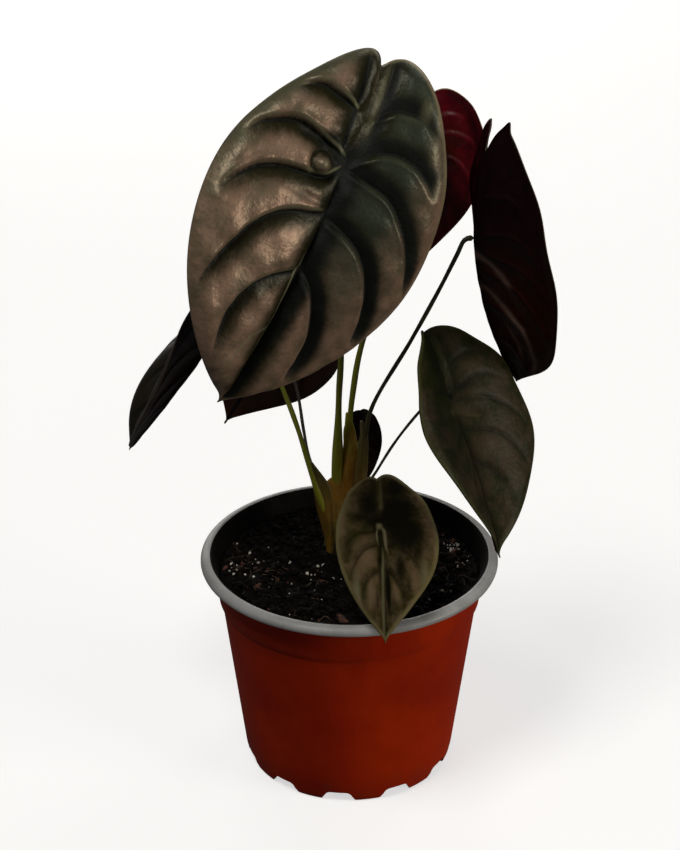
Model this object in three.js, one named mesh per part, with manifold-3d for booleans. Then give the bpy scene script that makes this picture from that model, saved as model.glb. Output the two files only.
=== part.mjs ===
// A potted alocasia: eight peltate leaves on a short crown, in peat, in a two-tone nursery pot.
//
// Millimetres, +Z up. The origin is in the middle of the pot's foot, on the face it stands on,
// and -Y is the front. Every leaf is a blade and the petiole that carries it.

import * as THREE from 'three';
import { mergeVertices } from 'three/addons/utils/BufferGeometryUtils.js';
import Module from 'manifold-3d';

const wasm = await Module();
wasm.setup();

// ---------------------------------------------------------------------------
// Driving dimensions
// ---------------------------------------------------------------------------

const CLEARANCE = 0.3; // gap left between two pieces that touch

const POT = {
  height: 100.5,
  lipRadius: 65,
  lipCrestRadius: 61.8,
  lipDrop: 3.8,
  mouthRadius: 59.8,
  neckRadius: 59.2, // outer wall just under the lip
  // Down the outside of the lip, from its crest: [in from the lip radius, below the rim].
  lipSteps: [[1.3, 0.7], [0.2, 2], [0, 3.5], [1.2, 3.8]],
  shoulderHeight: 79.8, // a small step runs round the wall here
  shoulderInset: 1.9, // of the step's outer edge from the neck
  shoulderStep: 1.1,
  stepHeight: 0.6,
  footRadius: 45.4,
  footWall: 2.2,
  bevelHeight: 2.6, // the foot's outer edge slopes out to the heel
  bevelWidth: 0.8,
  heelHeight: 6,
  heelRadius: 46.9,
  wall: 1.4,
  floorRise: 5.4,
  floorCorner: 2.2, // size of the slope between the floor and the wall inside
  padRadius: 9, // the middle of the floor dips to a flat pad that reaches the ground
  lugCount: 11,
  lugHeight: 5,
  lugShare: 0.62, // part of each pitch that stays as a lug
  lugTurn: -14.2, // of the first lug from +X, in degrees
  holeCount: 8,
  holeRadius: 3.5,
  holeCircle: 31,
};
const CUTTER_LENGTH = 12; // of the solids that cut right through the pot's shell

const SOIL = {
  level: 92.5,
  bumpHeight: 0.7,
  bumpLengths: [7, 8.5, 11],
  topRings: [1, 0.82, 0.62, 0.4, 0.2, 0], // shares of the top's radius
};

const CROWN = {
  x: -3.8,
  y: 15.4,
  bottom: 60,
  top: 99,
  radius: 11,
  // Up the side: [share of the radius, height above the bottom].
  side: [[0.55, 1.5], [0.9, 8], [1, 18], [0.96, 32.5], [0.8, 37.5]],
};

const BLADE_THICKNESS = 1.2;
const SEAT_GAP = 0.45; // between a petiole's end and the underside of its blade
const NECK = 3; // the petiole's last stretch stands square to the blade
const POINT_ANGLE = 0.35; // half of the angle that the drawn-out tip takes, in radians

// Lengths run along the midrib from the point where the petiole joins. Angles are in degrees:
// heading turns from +X, droop dips the tip, roll leans the blade sideways. tipBend and lobeBend
// curve the midrib down, fold lifts the halves off the midrib, and curl turns the margins down.
// Sway swings the midrib to one side, lean makes that half of the blade the wider one, and taper
// draws the other half in towards both of its ends.
const LEAVES = [
  {
    name: 'top',
    seat: [-1.9, -18, 284.9],
    heading: -129.8, droop: 53.3, roll: -54.9, twist: -28.9,
    tipLength: 108.2, lobeLength: 57.6, halfWidth: 51.6,
    tipPower: 0.6, lobePower: 0.75, notchDepth: 0.25, notchWidth: 0.33, point: 0.04,
    tipBend: 38.1, lobeBend: 22.8, fold: -14.4, curl: 36.4, sway: 0.9, lean: 0, taper: 0.36,
    petioleRadius: 2,
    route: [
      [-5.5, 15.5, 74], [-5.5, 15, 125], [-5, 14, 147], [-4.5, 12, 170], [-3.5, 8, 195],
      [-5, 0, 274],
    ],
  },
  {
    name: 'back',
    seat: [26.6, 35, 274],
    heading: 117, droop: 67, roll: 6.7, twist: 0,
    tipLength: 85, lobeLength: 33.6, halfWidth: 34.9,
    tipPower: 0.84, lobePower: 0.64, notchDepth: 0.14, notchWidth: 0.26, point: 0.04,
    tipBend: 5.5, lobeBend: 10, fold: -16, curl: 45, sway: 0, lean: 0, taper: 0,
    petioleRadius: 1.7,
    route: [
      [-1.5, 19, 74], [-0.5, 19, 124], [0, 20, 150], [1.5, 21, 167], [5.5, 23, 190],
      [30, 20, 262],
    ],
  },
  {
    name: 'right',
    seat: [51.7, 8, 243.8],
    heading: 42, droop: 85.1, roll: 22.3, twist: 1.7,
    tipLength: 69.7, lobeLength: 53, halfWidth: 45.4,
    tipPower: 0.55, lobePower: 0.7, notchDepth: 0.29, notchWidth: 0.18, point: 0.06,
    tipBend: -25.5, lobeBend: -22, fold: -24.5, curl: 9.1, sway: -0.3, lean: 0, taper: 0,
    petioleRadius: 1.2,
    route: [
      [0.5, 14, 74], [3, 14, 126], [6.5, 13, 148], [9.5, 12, 164], [26, 9, 197.5],
      [37.5, 7, 222], [44, 6, 237],
    ],
  },
  {
    name: 'lower_right',
    seat: [41.2, -12, 180.4],
    heading: -55.6, droop: 59.6, roll: -16.3, twist: -5.6,
    tipLength: 66.4, lobeLength: 33.5, halfWidth: 37.1,
    tipPower: 0.97, lobePower: 0.85, notchDepth: 0.12, notchWidth: 0.3, point: 0.05,
    tipBend: -2, lobeBend: 10.1, fold: -39.4, curl: 45.6, sway: 1.9, lean: 0, taper: 0,
    petioleRadius: 1,
    route: [
      [3, 10.5, 74], [6, 9, 123], [12.5, 7, 137.5], [20, 4, 152.5], [29, 0, 167.5],
      [33, -5.5, 175],
    ],
  },
  {
    name: 'front',
    seat: [12.3, -27, 129.8],
    heading: -88.2, droop: 21.7, roll: 2.9, twist: 5,
    tipLength: 56.2, lobeLength: 28.1, halfWidth: 22.2,
    tipPower: 0.96, lobePower: 0.74, notchDepth: 0.13, notchWidth: 0.23, point: 0.02,
    tipBend: 14.5, lobeBend: 3.8, fold: -16, curl: 42, sway: 0, lean: 0.15, taper: 0,
    petioleRadius: 1.1,
    route: [
      [-2.5, 9.5, 74], [-1, 5, 108], [4, -8, 120], [11, -20, 122.5],
    ],
  },
  {
    name: 'left',
    seat: [-50, 18, 206.6],
    heading: 166.7, droop: 58.8, roll: 5.8, twist: -26.8,
    tipLength: 83.7, lobeLength: 34, halfWidth: 38.9,
    tipPower: 0.71, lobePower: 0.64, notchDepth: 0.2, notchWidth: 0.3, point: 0.04,
    tipBend: -6.2, lobeBend: 5, fold: -36.5, curl: 46, sway: 1, lean: 0, taper: 0,
    petioleRadius: 1.3,
    route: [
      [-10, 14, 74], [-12, 13, 112.5], [-15, 12, 127], [-18, 12.5, 138], [-22.5, 13, 154.5],
      [-27.5, 14.5, 169], [-37, 16.5, 193],
    ],
  },
  {
    name: 'rear_left',
    seat: [-25.4, 42, 191.1],
    heading: 121.5, droop: 49.4, roll: 49.5, twist: 0,
    tipLength: 81.8, lobeLength: 31.8, halfWidth: 29.4,
    tipPower: 0.98, lobePower: 0.64, notchDepth: 0.12, notchWidth: 0.25, point: 0.04,
    tipBend: 14, lobeBend: 12, fold: -14, curl: 45, sway: 0, lean: 0, taper: 0,
    petioleRadius: 0.9,
    route: [
      [-9.5, 18.5, 74], [-10.5, 18, 110], [-13, 18, 124], [-17.5, 22, 134.5], [-20, 25, 147],
      [-23, 30, 165], [-29, 33.5, 184],
    ],
  },
  {
    name: 'small',
    seat: [5.6, 42, 140.4],
    heading: 73, droop: 76, roll: -22.4, twist: 0,
    tipLength: 29, lobeLength: 11, halfWidth: 8.9,
    tipPower: 0.8, lobePower: 0.64, notchDepth: 0.12, notchWidth: 0.3, point: 0.04,
    tipBend: 15.6, lobeBend: 8.2, fold: -20, curl: 40, sway: 0, lean: 0, taper: 0,
    petioleRadius: 0.9,
    route: [
      [-5, 22.5, 74], [-2.5, 25.5, 112], [1, 33, 127], [5.5, 37, 137.5],
    ],
  },
];

// How finely the round and curved pieces are faceted.
const POT_SEGMENTS = 44;
const SOIL_SEGMENTS = 32;
const CROWN_SEGMENTS = 20;
const PETIOLE_SIDES = 8;
const PETIOLE_STEP = 11;
const BLADE_SEGMENTS = 28;
const BLADE_RINGS = 5; // rings between the seat and the margin, on each face

// ---------------------------------------------------------------------------
// Materials
// ---------------------------------------------------------------------------

const finish = (color, roughness) => new THREE.MeshStandardMaterial({ color, roughness, metalness: 0 });

const MATERIALS = {
  pot: () => finish('#b4501c', 0.45),
  soil: () => finish('#2a1d15', 0.95),
  crown: () => finish('#7a6526', 0.6),
  petiole: () => finish('#7d8636', 0.5),
  blade: () => finish('#5c5540', 0.35),
};

// ---------------------------------------------------------------------------
// Solids: cutting and building
// ---------------------------------------------------------------------------

function toManifold(geometry) {
  const bare = geometry.clone();
  bare.deleteAttribute('normal');
  bare.deleteAttribute('uv');
  const merged = mergeVertices(bare, 1e-4);
  return new wasm.Manifold(new wasm.Mesh({
    numProp: 3,
    vertProperties: new Float32Array(merged.attributes.position.array),
    triVerts: new Uint32Array(merged.index.array),
  }));
}

function toGeometry(manifold) {
  const mesh = manifold.getMesh();
  const geometry = new THREE.BufferGeometry();
  geometry.setAttribute('position', new THREE.BufferAttribute(mesh.vertProperties, 3));
  geometry.setIndex(new THREE.BufferAttribute(mesh.triVerts, 1));
  geometry.computeVertexNormals();
  return geometry;
}

function subtract(geometry, tools) {
  const cut = tools.reduce((solid, tool) => solid.subtract(toManifold(tool)), toManifold(geometry));
  return toGeometry(cut);
}

// A lathe turned about +Z from [radius, height] pairs that start and end on the axis.
function latheZ(profile, segments) {
  const points = profile.map(([radius, height]) => new THREE.Vector2(radius, height));
  return new THREE.LatheGeometry(points, segments).rotateX(Math.PI / 2);
}

function part(name, geometry, material) {
  const mesh = new THREE.Mesh(geometry, material);
  mesh.name = name;
  return mesh;
}

const radians = THREE.MathUtils.degToRad;

// ---------------------------------------------------------------------------
// Pot
// ---------------------------------------------------------------------------

// The inside face of the wall, from the floor up to the mouth.
function potInside() {
  const floor = POT.floorRise + POT.wall;
  return [
    [POT.heelRadius - POT.wall - POT.floorCorner, floor],
    [POT.heelRadius - POT.wall, floor + POT.floorCorner],
    [POT.neckRadius - POT.shoulderInset - POT.shoulderStep - POT.wall, POT.shoulderHeight],
    [POT.neckRadius - POT.wall, POT.height - POT.lipDrop],
  ];
}

function potProfile() {
  const floor = POT.floorRise + POT.wall;
  const underLip = POT.height - POT.lipDrop;
  const shoulder = POT.neckRadius - POT.shoulderInset;
  const outside = [
    [POT.padRadius, 0],
    [POT.padRadius + 1, POT.floorRise],
    [POT.footRadius - POT.footWall, POT.floorRise],
    [POT.footRadius - POT.footWall, 0],
    [POT.footRadius, 0],
    [POT.footRadius + POT.bevelWidth, POT.bevelHeight],
    [POT.heelRadius, POT.heelHeight],
    [shoulder - POT.shoulderStep, POT.shoulderHeight],
    [shoulder, POT.shoulderHeight + POT.stepHeight],
    [POT.neckRadius, underLip],
  ];
  const lipSide = POT.lipSteps.map(([inset, below]) => [POT.lipRadius - inset, POT.height - below]);
  const lip = [
    ...lipSide.reverse(),
    [POT.lipCrestRadius, POT.height],
    [POT.mouthRadius, POT.height - POT.stepHeight],
  ];
  const pad = [
    [POT.padRadius - 1, floor],
    [POT.padRadius - 2, POT.wall],
  ];
  return [[0, 0], ...outside, ...lip, ...potInside().reverse(), ...pad, [0, POT.wall]];
}

// The gaps between the lugs on the foot's edge, where water runs out.
function lugGaps() {
  const pitch = (2 * Math.PI) / POT.lugCount;
  const gapWidth = pitch * (1 - POT.lugShare) * POT.footRadius;
  return Array.from({ length: POT.lugCount }, (_, i) => {
    const gap = new THREE.BoxGeometry(CUTTER_LENGTH, gapWidth, 2 * POT.lugHeight);
    gap.translate(POT.footRadius, 0, 0);
    return gap.rotateZ((i + 0.5) * pitch + radians(POT.lugTurn));
  });
}

function drainHoles() {
  return Array.from({ length: POT.holeCount }, (_, i) => {
    const hole = new THREE.CylinderGeometry(POT.holeRadius, POT.holeRadius, CUTTER_LENGTH, 16);
    hole.rotateX(Math.PI / 2).translate(POT.holeCircle, 0, POT.floorRise);
    return hole.rotateZ((i / POT.holeCount) * 2 * Math.PI);
  });
}

function makePot() {
  const body = latheZ(potProfile(), POT_SEGMENTS);
  return part('pot', subtract(body, [...lugGaps(), ...drainHoles()]), MATERIALS.pot());
}

// ---------------------------------------------------------------------------
// Crown
// ---------------------------------------------------------------------------

// The short stem that the petioles grow from: it sits in the peat and shows a little above it.
function crownSolid(extra) {
  const radius = CROWN.radius + extra;
  const bottom = CROWN.bottom - extra;
  const body = latheZ([
    [0, bottom],
    ...CROWN.side.map(([share, rise]) => [share * radius, bottom + rise]),
    [0, CROWN.top + extra],
  ], CROWN_SEGMENTS);
  return body.translate(CROWN.x, CROWN.y, 0);
}

function makeCrown() {
  const sockets = LEAVES.map((leaf) => petioleSolid(leaf, CLEARANCE));
  return part('crown', subtract(crownSolid(0), sockets), MATERIALS.crown());
}

// ---------------------------------------------------------------------------
// Soil
// ---------------------------------------------------------------------------

// The peat is pressed in by hand, so its top is slightly uneven.
function soilHeight(x, y) {
  const [lengthX, lengthY, swell] = SOIL.bumpLengths;
  const bump = Math.sin(x / lengthX + 1.3) * Math.cos(y / lengthY) + 0.6 * Math.sin((x - 1.7 * y) / swell);
  return SOIL.level + SOIL.bumpHeight * bump;
}

function makeSoil() {
  const [heel, lowWall, shoulder, neck] = potInside();
  const slope = (neck[0] - shoulder[0]) / (neck[1] - shoulder[1]);
  const edge = shoulder[0] + slope * (SOIL.level - shoulder[1]) - 2 * CLEARANCE;
  const floor = heel[1] + CLEARANCE;
  const geometry = latheZ([
    [0, POT.wall + CLEARANCE],
    [POT.padRadius - 2 - CLEARANCE, POT.wall + CLEARANCE],
    [POT.padRadius - 1 - CLEARANCE, floor],
    [heel[0] - CLEARANCE, floor],
    [lowWall[0] - CLEARANCE, lowWall[1] + CLEARANCE],
    [shoulder[0] - CLEARANCE, shoulder[1]],
    ...SOIL.topRings.map((share) => [share * edge, SOIL.level]),
  ], SOIL_SEGMENTS);
  const position = geometry.attributes.position;
  for (let i = 0; i < position.count; i += 1) {
    if (position.getZ(i) > SOIL.level - 0.01) {
      position.setZ(i, soilHeight(position.getX(i), position.getY(i)));
    }
  }
  return part('soil', subtract(geometry, [crownSolid(CLEARANCE)]), MATERIALS.soil());
}

// ---------------------------------------------------------------------------
// Leaves
// ---------------------------------------------------------------------------

// The blade's own axes: midrib towards the tip, sideways, and out of the upper face.
function leafAxes(leaf) {
  const heading = radians(leaf.heading);
  const droop = radians(leaf.droop);
  const roll = radians(leaf.roll);
  const tip = new THREE.Vector3(
    Math.cos(droop) * Math.cos(heading),
    Math.cos(droop) * Math.sin(heading),
    -Math.sin(droop),
  );
  const level = new THREE.Vector3(-Math.sin(heading), Math.cos(heading), 0);
  const up = new THREE.Vector3().crossVectors(tip, level);
  return {
    tip,
    side: level.clone().multiplyScalar(Math.cos(roll)).addScaledVector(up, Math.sin(roll)),
    face: up.clone().multiplyScalar(Math.cos(roll)).addScaledVector(level, -Math.sin(roll)),
  };
}

// The margin of the flat blade. The angle is 0 at the tip and runs to pi at the notch.
function margin(leaf, angle) {
  const along = (1 - Math.cos(angle)) / 2;
  const half = Math.sign(angle);
  const taper = half < 0 ? leaf.taper : 0;
  const a = leaf.lobePower + taper;
  const b = leaf.tipPower + taper;
  const peak = (a / (a + b)) ** a * (b / (a + b)) ** b;
  const width = (leaf.halfWidth / peak) * (1 - along) ** a * along ** b;
  const notch = 1 - leaf.notchDepth * Math.exp(-(((Math.PI - Math.abs(angle)) / leaf.notchWidth) ** 2));
  const point = 1 + leaf.point * Math.max(0, 1 - Math.abs(angle) / POINT_ANGLE) ** 2;
  const x = leaf.tipLength - (leaf.tipLength + leaf.lobeLength) * along;
  return { x: x * notch * point, y: half * width * notch * (1 + half * leaf.lean) };
}

// Distance along and below the start line, on an arc that sets off at an angle and keeps turning.
function arc(start, turn, length) {
  if (Math.abs(turn) < 1e-9) {
    return { along: length * Math.cos(start), down: length * Math.sin(start) };
  }
  return {
    along: (Math.sin(start + turn * length) - Math.sin(start)) / turn,
    down: (Math.cos(start) - Math.cos(start + turn * length)) / turn,
  };
}

// Bends a point of the flat blade to its grown shape, in the blade's own axes.
function bendBlade(leaf, x, y, z) {
  const half = arc(radians(leaf.fold), radians(leaf.curl) / leaf.halfWidth, Math.abs(y));
  const flatY = Math.sign(y) * half.along;
  const flatZ = z - half.down;
  const twist = (radians(leaf.twist) * x) / leaf.tipLength;
  const sideways = flatY * Math.cos(twist) - flatZ * Math.sin(twist);
  const height = flatY * Math.sin(twist) + flatZ * Math.cos(twist);
  const turn = x > 0 ? radians(leaf.tipBend) / leaf.tipLength : radians(leaf.lobeBend) / leaf.lobeLength;
  const rib = arc(0, turn, x);
  const swing = x > 0 ? 4 * leaf.sway * (x / leaf.tipLength) * (1 - x / leaf.tipLength) : 0;
  return new THREE.Vector3(
    rib.along + height * Math.sin(turn * x),
    sideways + swing,
    -rib.down + height * Math.cos(turn * x),
  );
}

// A ball pressed flat into the blade: its poles are the middles of the two faces.
function makeBlade(leaf) {
  const axes = leafAxes(leaf);
  const place = new THREE.Matrix4()
    .makeBasis(axes.tip, axes.side, axes.face)
    .setPosition(...leaf.seat);
  const geometry = new THREE.SphereGeometry(1, BLADE_SEGMENTS, 2 * BLADE_RINGS);
  const position = geometry.attributes.position;
  const ball = new THREE.Vector3();
  for (let i = 0; i < position.count; i += 1) {
    ball.fromBufferAttribute(position, i);
    const polar = Math.acos(THREE.MathUtils.clamp(ball.y, -1, 1)) / (Math.PI / 2);
    const reach = 1 - Math.abs(polar - 1);
    const edge = margin(leaf, reach < 1e-6 ? 0 : Math.atan2(-ball.z, ball.x));
    const fullness = Math.sign(1 - polar) * Math.sqrt(Math.max(0, 1 - reach * reach));
    const z = (BLADE_THICKNESS / 2) * (fullness - 1);
    const point = bendBlade(leaf, edge.x * reach, edge.y * reach, z).applyMatrix4(place);
    position.setXYZ(i, point.x, point.y, point.z);
  }
  const solid = toGeometry(toManifold(geometry));
  return part(`blade_${leaf.name}`, solid, MATERIALS.blade());
}

// The petiole climbs from its socket in the crown to the underside of its blade.
function petioleSolid(leaf, extra) {
  const face = leafAxes(leaf).face;
  const end = new THREE.Vector3(...leaf.seat).addScaledVector(face, -(BLADE_THICKNESS + SEAT_GAP));
  const neck = end.clone().addScaledVector(face, -NECK);
  const stations = leaf.route.map((point) => new THREE.Vector3(...point));
  stations[0].z -= extra;
  const path = new THREE.CatmullRomCurve3([...stations, neck, end], false, 'centripetal');
  const radius = leaf.petioleRadius + extra;
  const section = new THREE.Shape(Array.from({ length: PETIOLE_SIDES }, (_, i) => {
    const angle = (i / PETIOLE_SIDES) * 2 * Math.PI;
    return new THREE.Vector2(radius * Math.cos(angle), radius * Math.sin(angle));
  }));
  return new THREE.ExtrudeGeometry(section, {
    steps: Math.max(6, Math.round(path.getLength() / PETIOLE_STEP)),
    bevelEnabled: false,
    extrudePath: path,
  });
}

function makePetiole(leaf) {
  const solid = toGeometry(toManifold(petioleSolid(leaf, 0)));
  return part(`petiole_${leaf.name}`, solid, MATERIALS.petiole());
}

// ---------------------------------------------------------------------------
// The whole plant
// ---------------------------------------------------------------------------

const plant = new THREE.Group();
plant.name = 'potted_alocasia';
plant.add(makePot(), makeSoil(), makeCrown());
LEAVES.forEach((leaf) => plant.add(makePetiole(leaf), makeBlade(leaf)));

export default plant;
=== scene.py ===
"""Looks of a potted alocasia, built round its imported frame.

Eight quilted, shield-shaped leaves on slender petioles grow from a short crown, in peat with
perlite, in a two-tone nursery pot. Sizes in the classes are millimetres, +Z up, with the origin
under the middle of the pot and -Y to the front. Meshes and materials are made in metres.
"""

import sys

import logging
import math
from collections.abc import Iterator
from contextlib import contextmanager
from dataclasses import dataclass, replace
from enum import Enum

import bpy
import numpy as np
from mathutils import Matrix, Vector, noise


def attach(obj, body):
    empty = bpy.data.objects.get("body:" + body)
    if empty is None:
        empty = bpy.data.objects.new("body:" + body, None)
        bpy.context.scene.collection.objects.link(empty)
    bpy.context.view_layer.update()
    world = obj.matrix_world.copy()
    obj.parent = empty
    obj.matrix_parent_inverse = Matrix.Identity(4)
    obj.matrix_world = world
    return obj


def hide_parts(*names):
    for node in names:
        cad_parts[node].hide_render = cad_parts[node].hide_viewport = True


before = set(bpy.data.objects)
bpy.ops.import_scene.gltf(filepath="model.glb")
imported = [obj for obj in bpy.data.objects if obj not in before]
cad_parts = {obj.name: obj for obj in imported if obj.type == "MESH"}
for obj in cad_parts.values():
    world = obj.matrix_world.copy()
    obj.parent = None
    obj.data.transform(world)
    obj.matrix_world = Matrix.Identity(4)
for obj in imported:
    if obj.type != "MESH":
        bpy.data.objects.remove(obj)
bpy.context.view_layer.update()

log = logging.getLogger("alocasia")

MM = 0.001
FULL_TURN = 2 * math.pi
Points = np.ndarray
Colour = tuple[float, float, float]
Pair = tuple[float, float]
Rows = tuple[tuple[float, ...], ...]
Piece = bpy.types.Object
Material = bpy.types.Material


class Slot(Enum):
    """The record's material slots."""

    POT = "pot"
    SOIL = "soil"
    CROWN = "crown"
    PETIOLE = "petiole"
    BLADE = "blade"


def srgb(red: int, green: int, blue: int) -> Colour:
    """Linear colour of a screen colour.

    Args:
        red: Red, 0 to 255.
        green: Green, 0 to 255.
        blue: Blue, 0 to 255.

    Returns:
        The three linear values, 0 to 1.
    """
    def linear(value: int) -> float:
        """Linear value of one channel."""
        share = value / 255
        return share / 12.92 if share <= 0.04045 else ((share + 0.055) / 1.055) ** 2.4

    return linear(red), linear(green), linear(blue)


def darker(colour: Colour, share: float) -> Colour:
    """The colour with only this share of its light."""
    return tuple(share * value for value in colour)


def smooth(low: float, high: float, value: Points) -> Points:
    """Smooth step from 0 at low to 1 at high.

    Args:
        low: Where the step starts.
        high: Where the step ends. It may be below low.
        value: What is measured.

    Returns:
        The step's height at each value.
    """
    share = np.clip((value - low) / (high - low), 0, 1)
    return share * share * (3 - 2 * share)


def bell(value: Points, width: float) -> Points:
    """Bell curve that is 1 at 0 and fades over the width."""
    return np.exp(-((value / width) ** 2))


def unit(vectors: Points) -> Points:
    """The vectors, one row each, all of length 1."""
    return vectors / np.linalg.norm(vectors, axis=1, keepdims=True)


def resample(rows: Points, steps: Points) -> Points:
    """Rows read off at these steps, where step 2.5 is half way from row 2 to row 3."""
    return np.stack([np.interp(steps, np.arange(len(rows)), column) for column in rows.T], 1)


def relax(line: Points, times: int) -> None:
    """Smooths the rows between the first and the last this many times, in place."""
    for _ in range(times):
        line[1:-1] = (line[:-2] + line[1:-1] * 2 + line[2:]) / 4


def bumps(places: Points) -> Points:
    """Soft noise at each place, about -1 to 1, with one bump for each unit."""
    return np.array([noise.noise(Vector(place)) for place in places])


# --- The bench: moves that all the pieces share ---


class Bench:
    """Adding, shaping and finishing meshes."""

    @staticmethod
    def clear() -> None:
        """Leaves edit mode and deselects everything."""
        if bpy.context.object and bpy.context.object.mode != "OBJECT":
            bpy.ops.object.mode_set(mode="OBJECT")
        bpy.ops.object.select_all(action="DESELECT")

    @staticmethod
    def pick(piece: Piece) -> None:
        """Makes the piece the only one selected, and the active one."""
        Bench.clear()
        piece.select_set(True)
        bpy.context.view_layer.objects.active = piece

    @staticmethod
    @contextmanager
    def editing(piece: Piece) -> Iterator[None]:
        """Edit mode on the piece alone, with all of it selected."""
        Bench.pick(piece)
        bpy.ops.object.mode_set(mode="EDIT")
        bpy.ops.mesh.select_all(action="SELECT")
        yield
        bpy.ops.object.mode_set(mode="OBJECT")

    @staticmethod
    def added(name: str) -> Piece:
        """Names the primitive that was just added."""
        piece = bpy.context.object
        piece.name = piece.data.name = name
        return piece

    @staticmethod
    def sheet(name: str, columns: int, rows: int) -> tuple[Piece, Points, Points]:
        """Adds a flat grid, ready to be shaped.

        Args:
            name: The piece's name.
            columns: Faces across.
            rows: Faces along.

        Returns:
            The piece, and for each vertex its share across and its share along.
        """
        Bench.clear()
        bpy.ops.mesh.primitive_grid_add(x_subdivisions=columns, y_subdivisions=rows, size=2)
        piece = Bench.added(name)
        flat = Bench.points(piece)
        return piece, (flat[:, 0] + 1) / 2, (flat[:, 1] + 1) / 2

    @staticmethod
    def points(piece: Piece) -> Points:
        """The mesh's vertices, one row each."""
        flat = np.zeros(len(piece.data.vertices) * 3)
        piece.data.vertices.foreach_get("co", flat)
        return flat.reshape(-1, 3)

    @staticmethod
    def shape(piece: Piece, points: Points) -> None:
        """Moves the vertices to these places."""
        places = np.ascontiguousarray(points, dtype=np.float32).ravel()
        piece.data.vertices.foreach_set("co", places)
        piece.data.update()

    @staticmethod
    def weld(piece: Piece, reach: float = 2e-6) -> None:
        """Merges vertices that fall together, and turns the faces outwards.

        Args:
            piece: The piece.
            reach: Furthest apart that two merged vertices may be, in metres.
        """
        with Bench.editing(piece):
            bpy.ops.mesh.remove_doubles(threshold=reach)
            bpy.ops.mesh.normals_make_consistent(inside=False)

    @staticmethod
    def flip(piece: Piece) -> None:
        """Turns every face over."""
        with Bench.editing(piece):
            bpy.ops.mesh.flip_normals()

    @staticmethod
    def turned(name: str, profile: list[Pair], segments: int) -> Piece:
        """Spins a profile into a closed turned body.

        Args:
            name: The piece's name.
            profile: Radius and height pairs in millimetres. It starts and ends on the axis.
            segments: Faces round the axis.

        Returns:
            The piece.
        """
        Bench.clear()
        bpy.ops.mesh.primitive_plane_add(size=MM, location=(0, 0, 0))
        piece = Bench.added(name)
        radius, height = profile[0]
        with Bench.editing(piece):
            bpy.ops.mesh.merge(type="CENTER")
            bpy.ops.transform.translate(value=(radius * MM, 0, height * MM))
            for (r0, z0), (r1, z1) in zip(profile, profile[1:]):
                step = ((r1 - r0) * MM, 0, (z1 - z0) * MM)
                bpy.ops.mesh.extrude_region_move(TRANSFORM_OT_translate={"value": step})
            bpy.ops.mesh.select_all(action="SELECT")
            bpy.ops.mesh.spin(steps=segments, angle=FULL_TURN, center=(0, 0, 0), axis=(0, 0, 1))
        Bench.weld(piece)
        return piece

    @staticmethod
    def loft(name: str, stations: Points, sides: int, rows: int) -> tuple[Piece, Points, Points]:
        """Makes a closed body through level oval sections.

        Args:
            name: The piece's name.
            stations: Rows of x, y, height, half width and half thickness, from the bottom up,
                in millimetres.
            sides: Faces round each section.
            rows: Faces along.

        Returns:
            The piece, and for each vertex its share round and its share along.
        """
        level = resample(stations, np.linspace(0, len(stations) - 1, rows + 1))
        relax(level, 3 * rows // len(stations))
        level[[0, -1], 3:] = 0
        piece, around, along = Bench.sheet(name, sides, rows)
        x, y, height, wide, thick = level[np.rint(along * rows).astype(int)].T
        angle = around * 2 * math.pi
        places = (x + wide * np.cos(angle), y + thick * np.sin(angle), height)
        Bench.shape(piece, MM * np.stack(places, 1))
        return piece, around, along

    @staticmethod
    def store(piece: Piece, name: str, values: Points) -> None:
        """Keeps one number per vertex for the finish to read."""
        layer = piece.data.attributes.new(name, "FLOAT", "POINT")
        layer.data.foreach_set("value", np.ascontiguousarray(values, dtype=np.float32))

    @staticmethod
    def apply(piece: Piece) -> None:
        """Applies the piece's modifiers, top first."""
        Bench.pick(piece)
        for modifier in list(piece.modifiers):
            bpy.ops.object.modifier_apply(modifier=modifier.name)

    @staticmethod
    def paint(piece: Piece, *materials: Material) -> None:
        """Gives the piece these materials and no others."""
        piece.data.materials.clear()
        for material in materials:
            piece.data.materials.append(material)

    @staticmethod
    def smooth(piece: Piece, degrees: float | None = None) -> None:
        """Shades the piece smooth.

        Args:
            piece: The piece.
            degrees: Edges sharper than this stay sharp. None smooths them all.
        """
        Bench.pick(piece)
        if degrees is None:
            bpy.ops.object.shade_smooth()
        else:
            bpy.ops.object.shade_smooth_by_angle(angle=math.radians(degrees))

    @staticmethod
    def join(name: str, parts: list[tuple[Points, Points]]) -> Piece:
        """Makes one piece of many small meshes.

        Args:
            name: The piece's name.
            parts: For each mesh its points in metres and its faces, all of one corner count.

        Returns:
            The piece.
        """
        offsets = np.cumsum([0] + [len(points) for points, _ in parts])
        points = np.concatenate([points for points, _ in parts])
        faces = np.concatenate([faces + offset for (_, faces), offset in zip(parts, offsets)])
        mesh = bpy.data.meshes.new(name)
        mesh.from_pydata(points.tolist(), [], faces.tolist())
        mesh.update()
        piece = bpy.data.objects.new(name, mesh)
        bpy.context.scene.collection.objects.link(piece)
        return piece

    @staticmethod
    def place(piece: Piece, slot: Slot, *nodes: str, sharp: float | None = None) -> None:
        """Shades the finished piece, rides it on the plant and hides the frame's nodes that it
        stands for.

        Args:
            piece: The piece.
            slot: Not used.
            nodes: The frame's nodes that it takes the place of.
            sharp: Edges sharper than this many degrees stay sharp. None smooths them all.
        """
        Bench.smooth(piece, sharp)
        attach(piece, "root")
        if nodes:
            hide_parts(*nodes)
        faces = sum(len(polygon.vertices) - 2 for polygon in piece.data.polygons)
        log.info("%s: %d triangles", piece.name, faces)


# --- Finishes ---

Socket = bpy.types.NodeSocket
Feed = Socket | float | tuple


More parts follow.
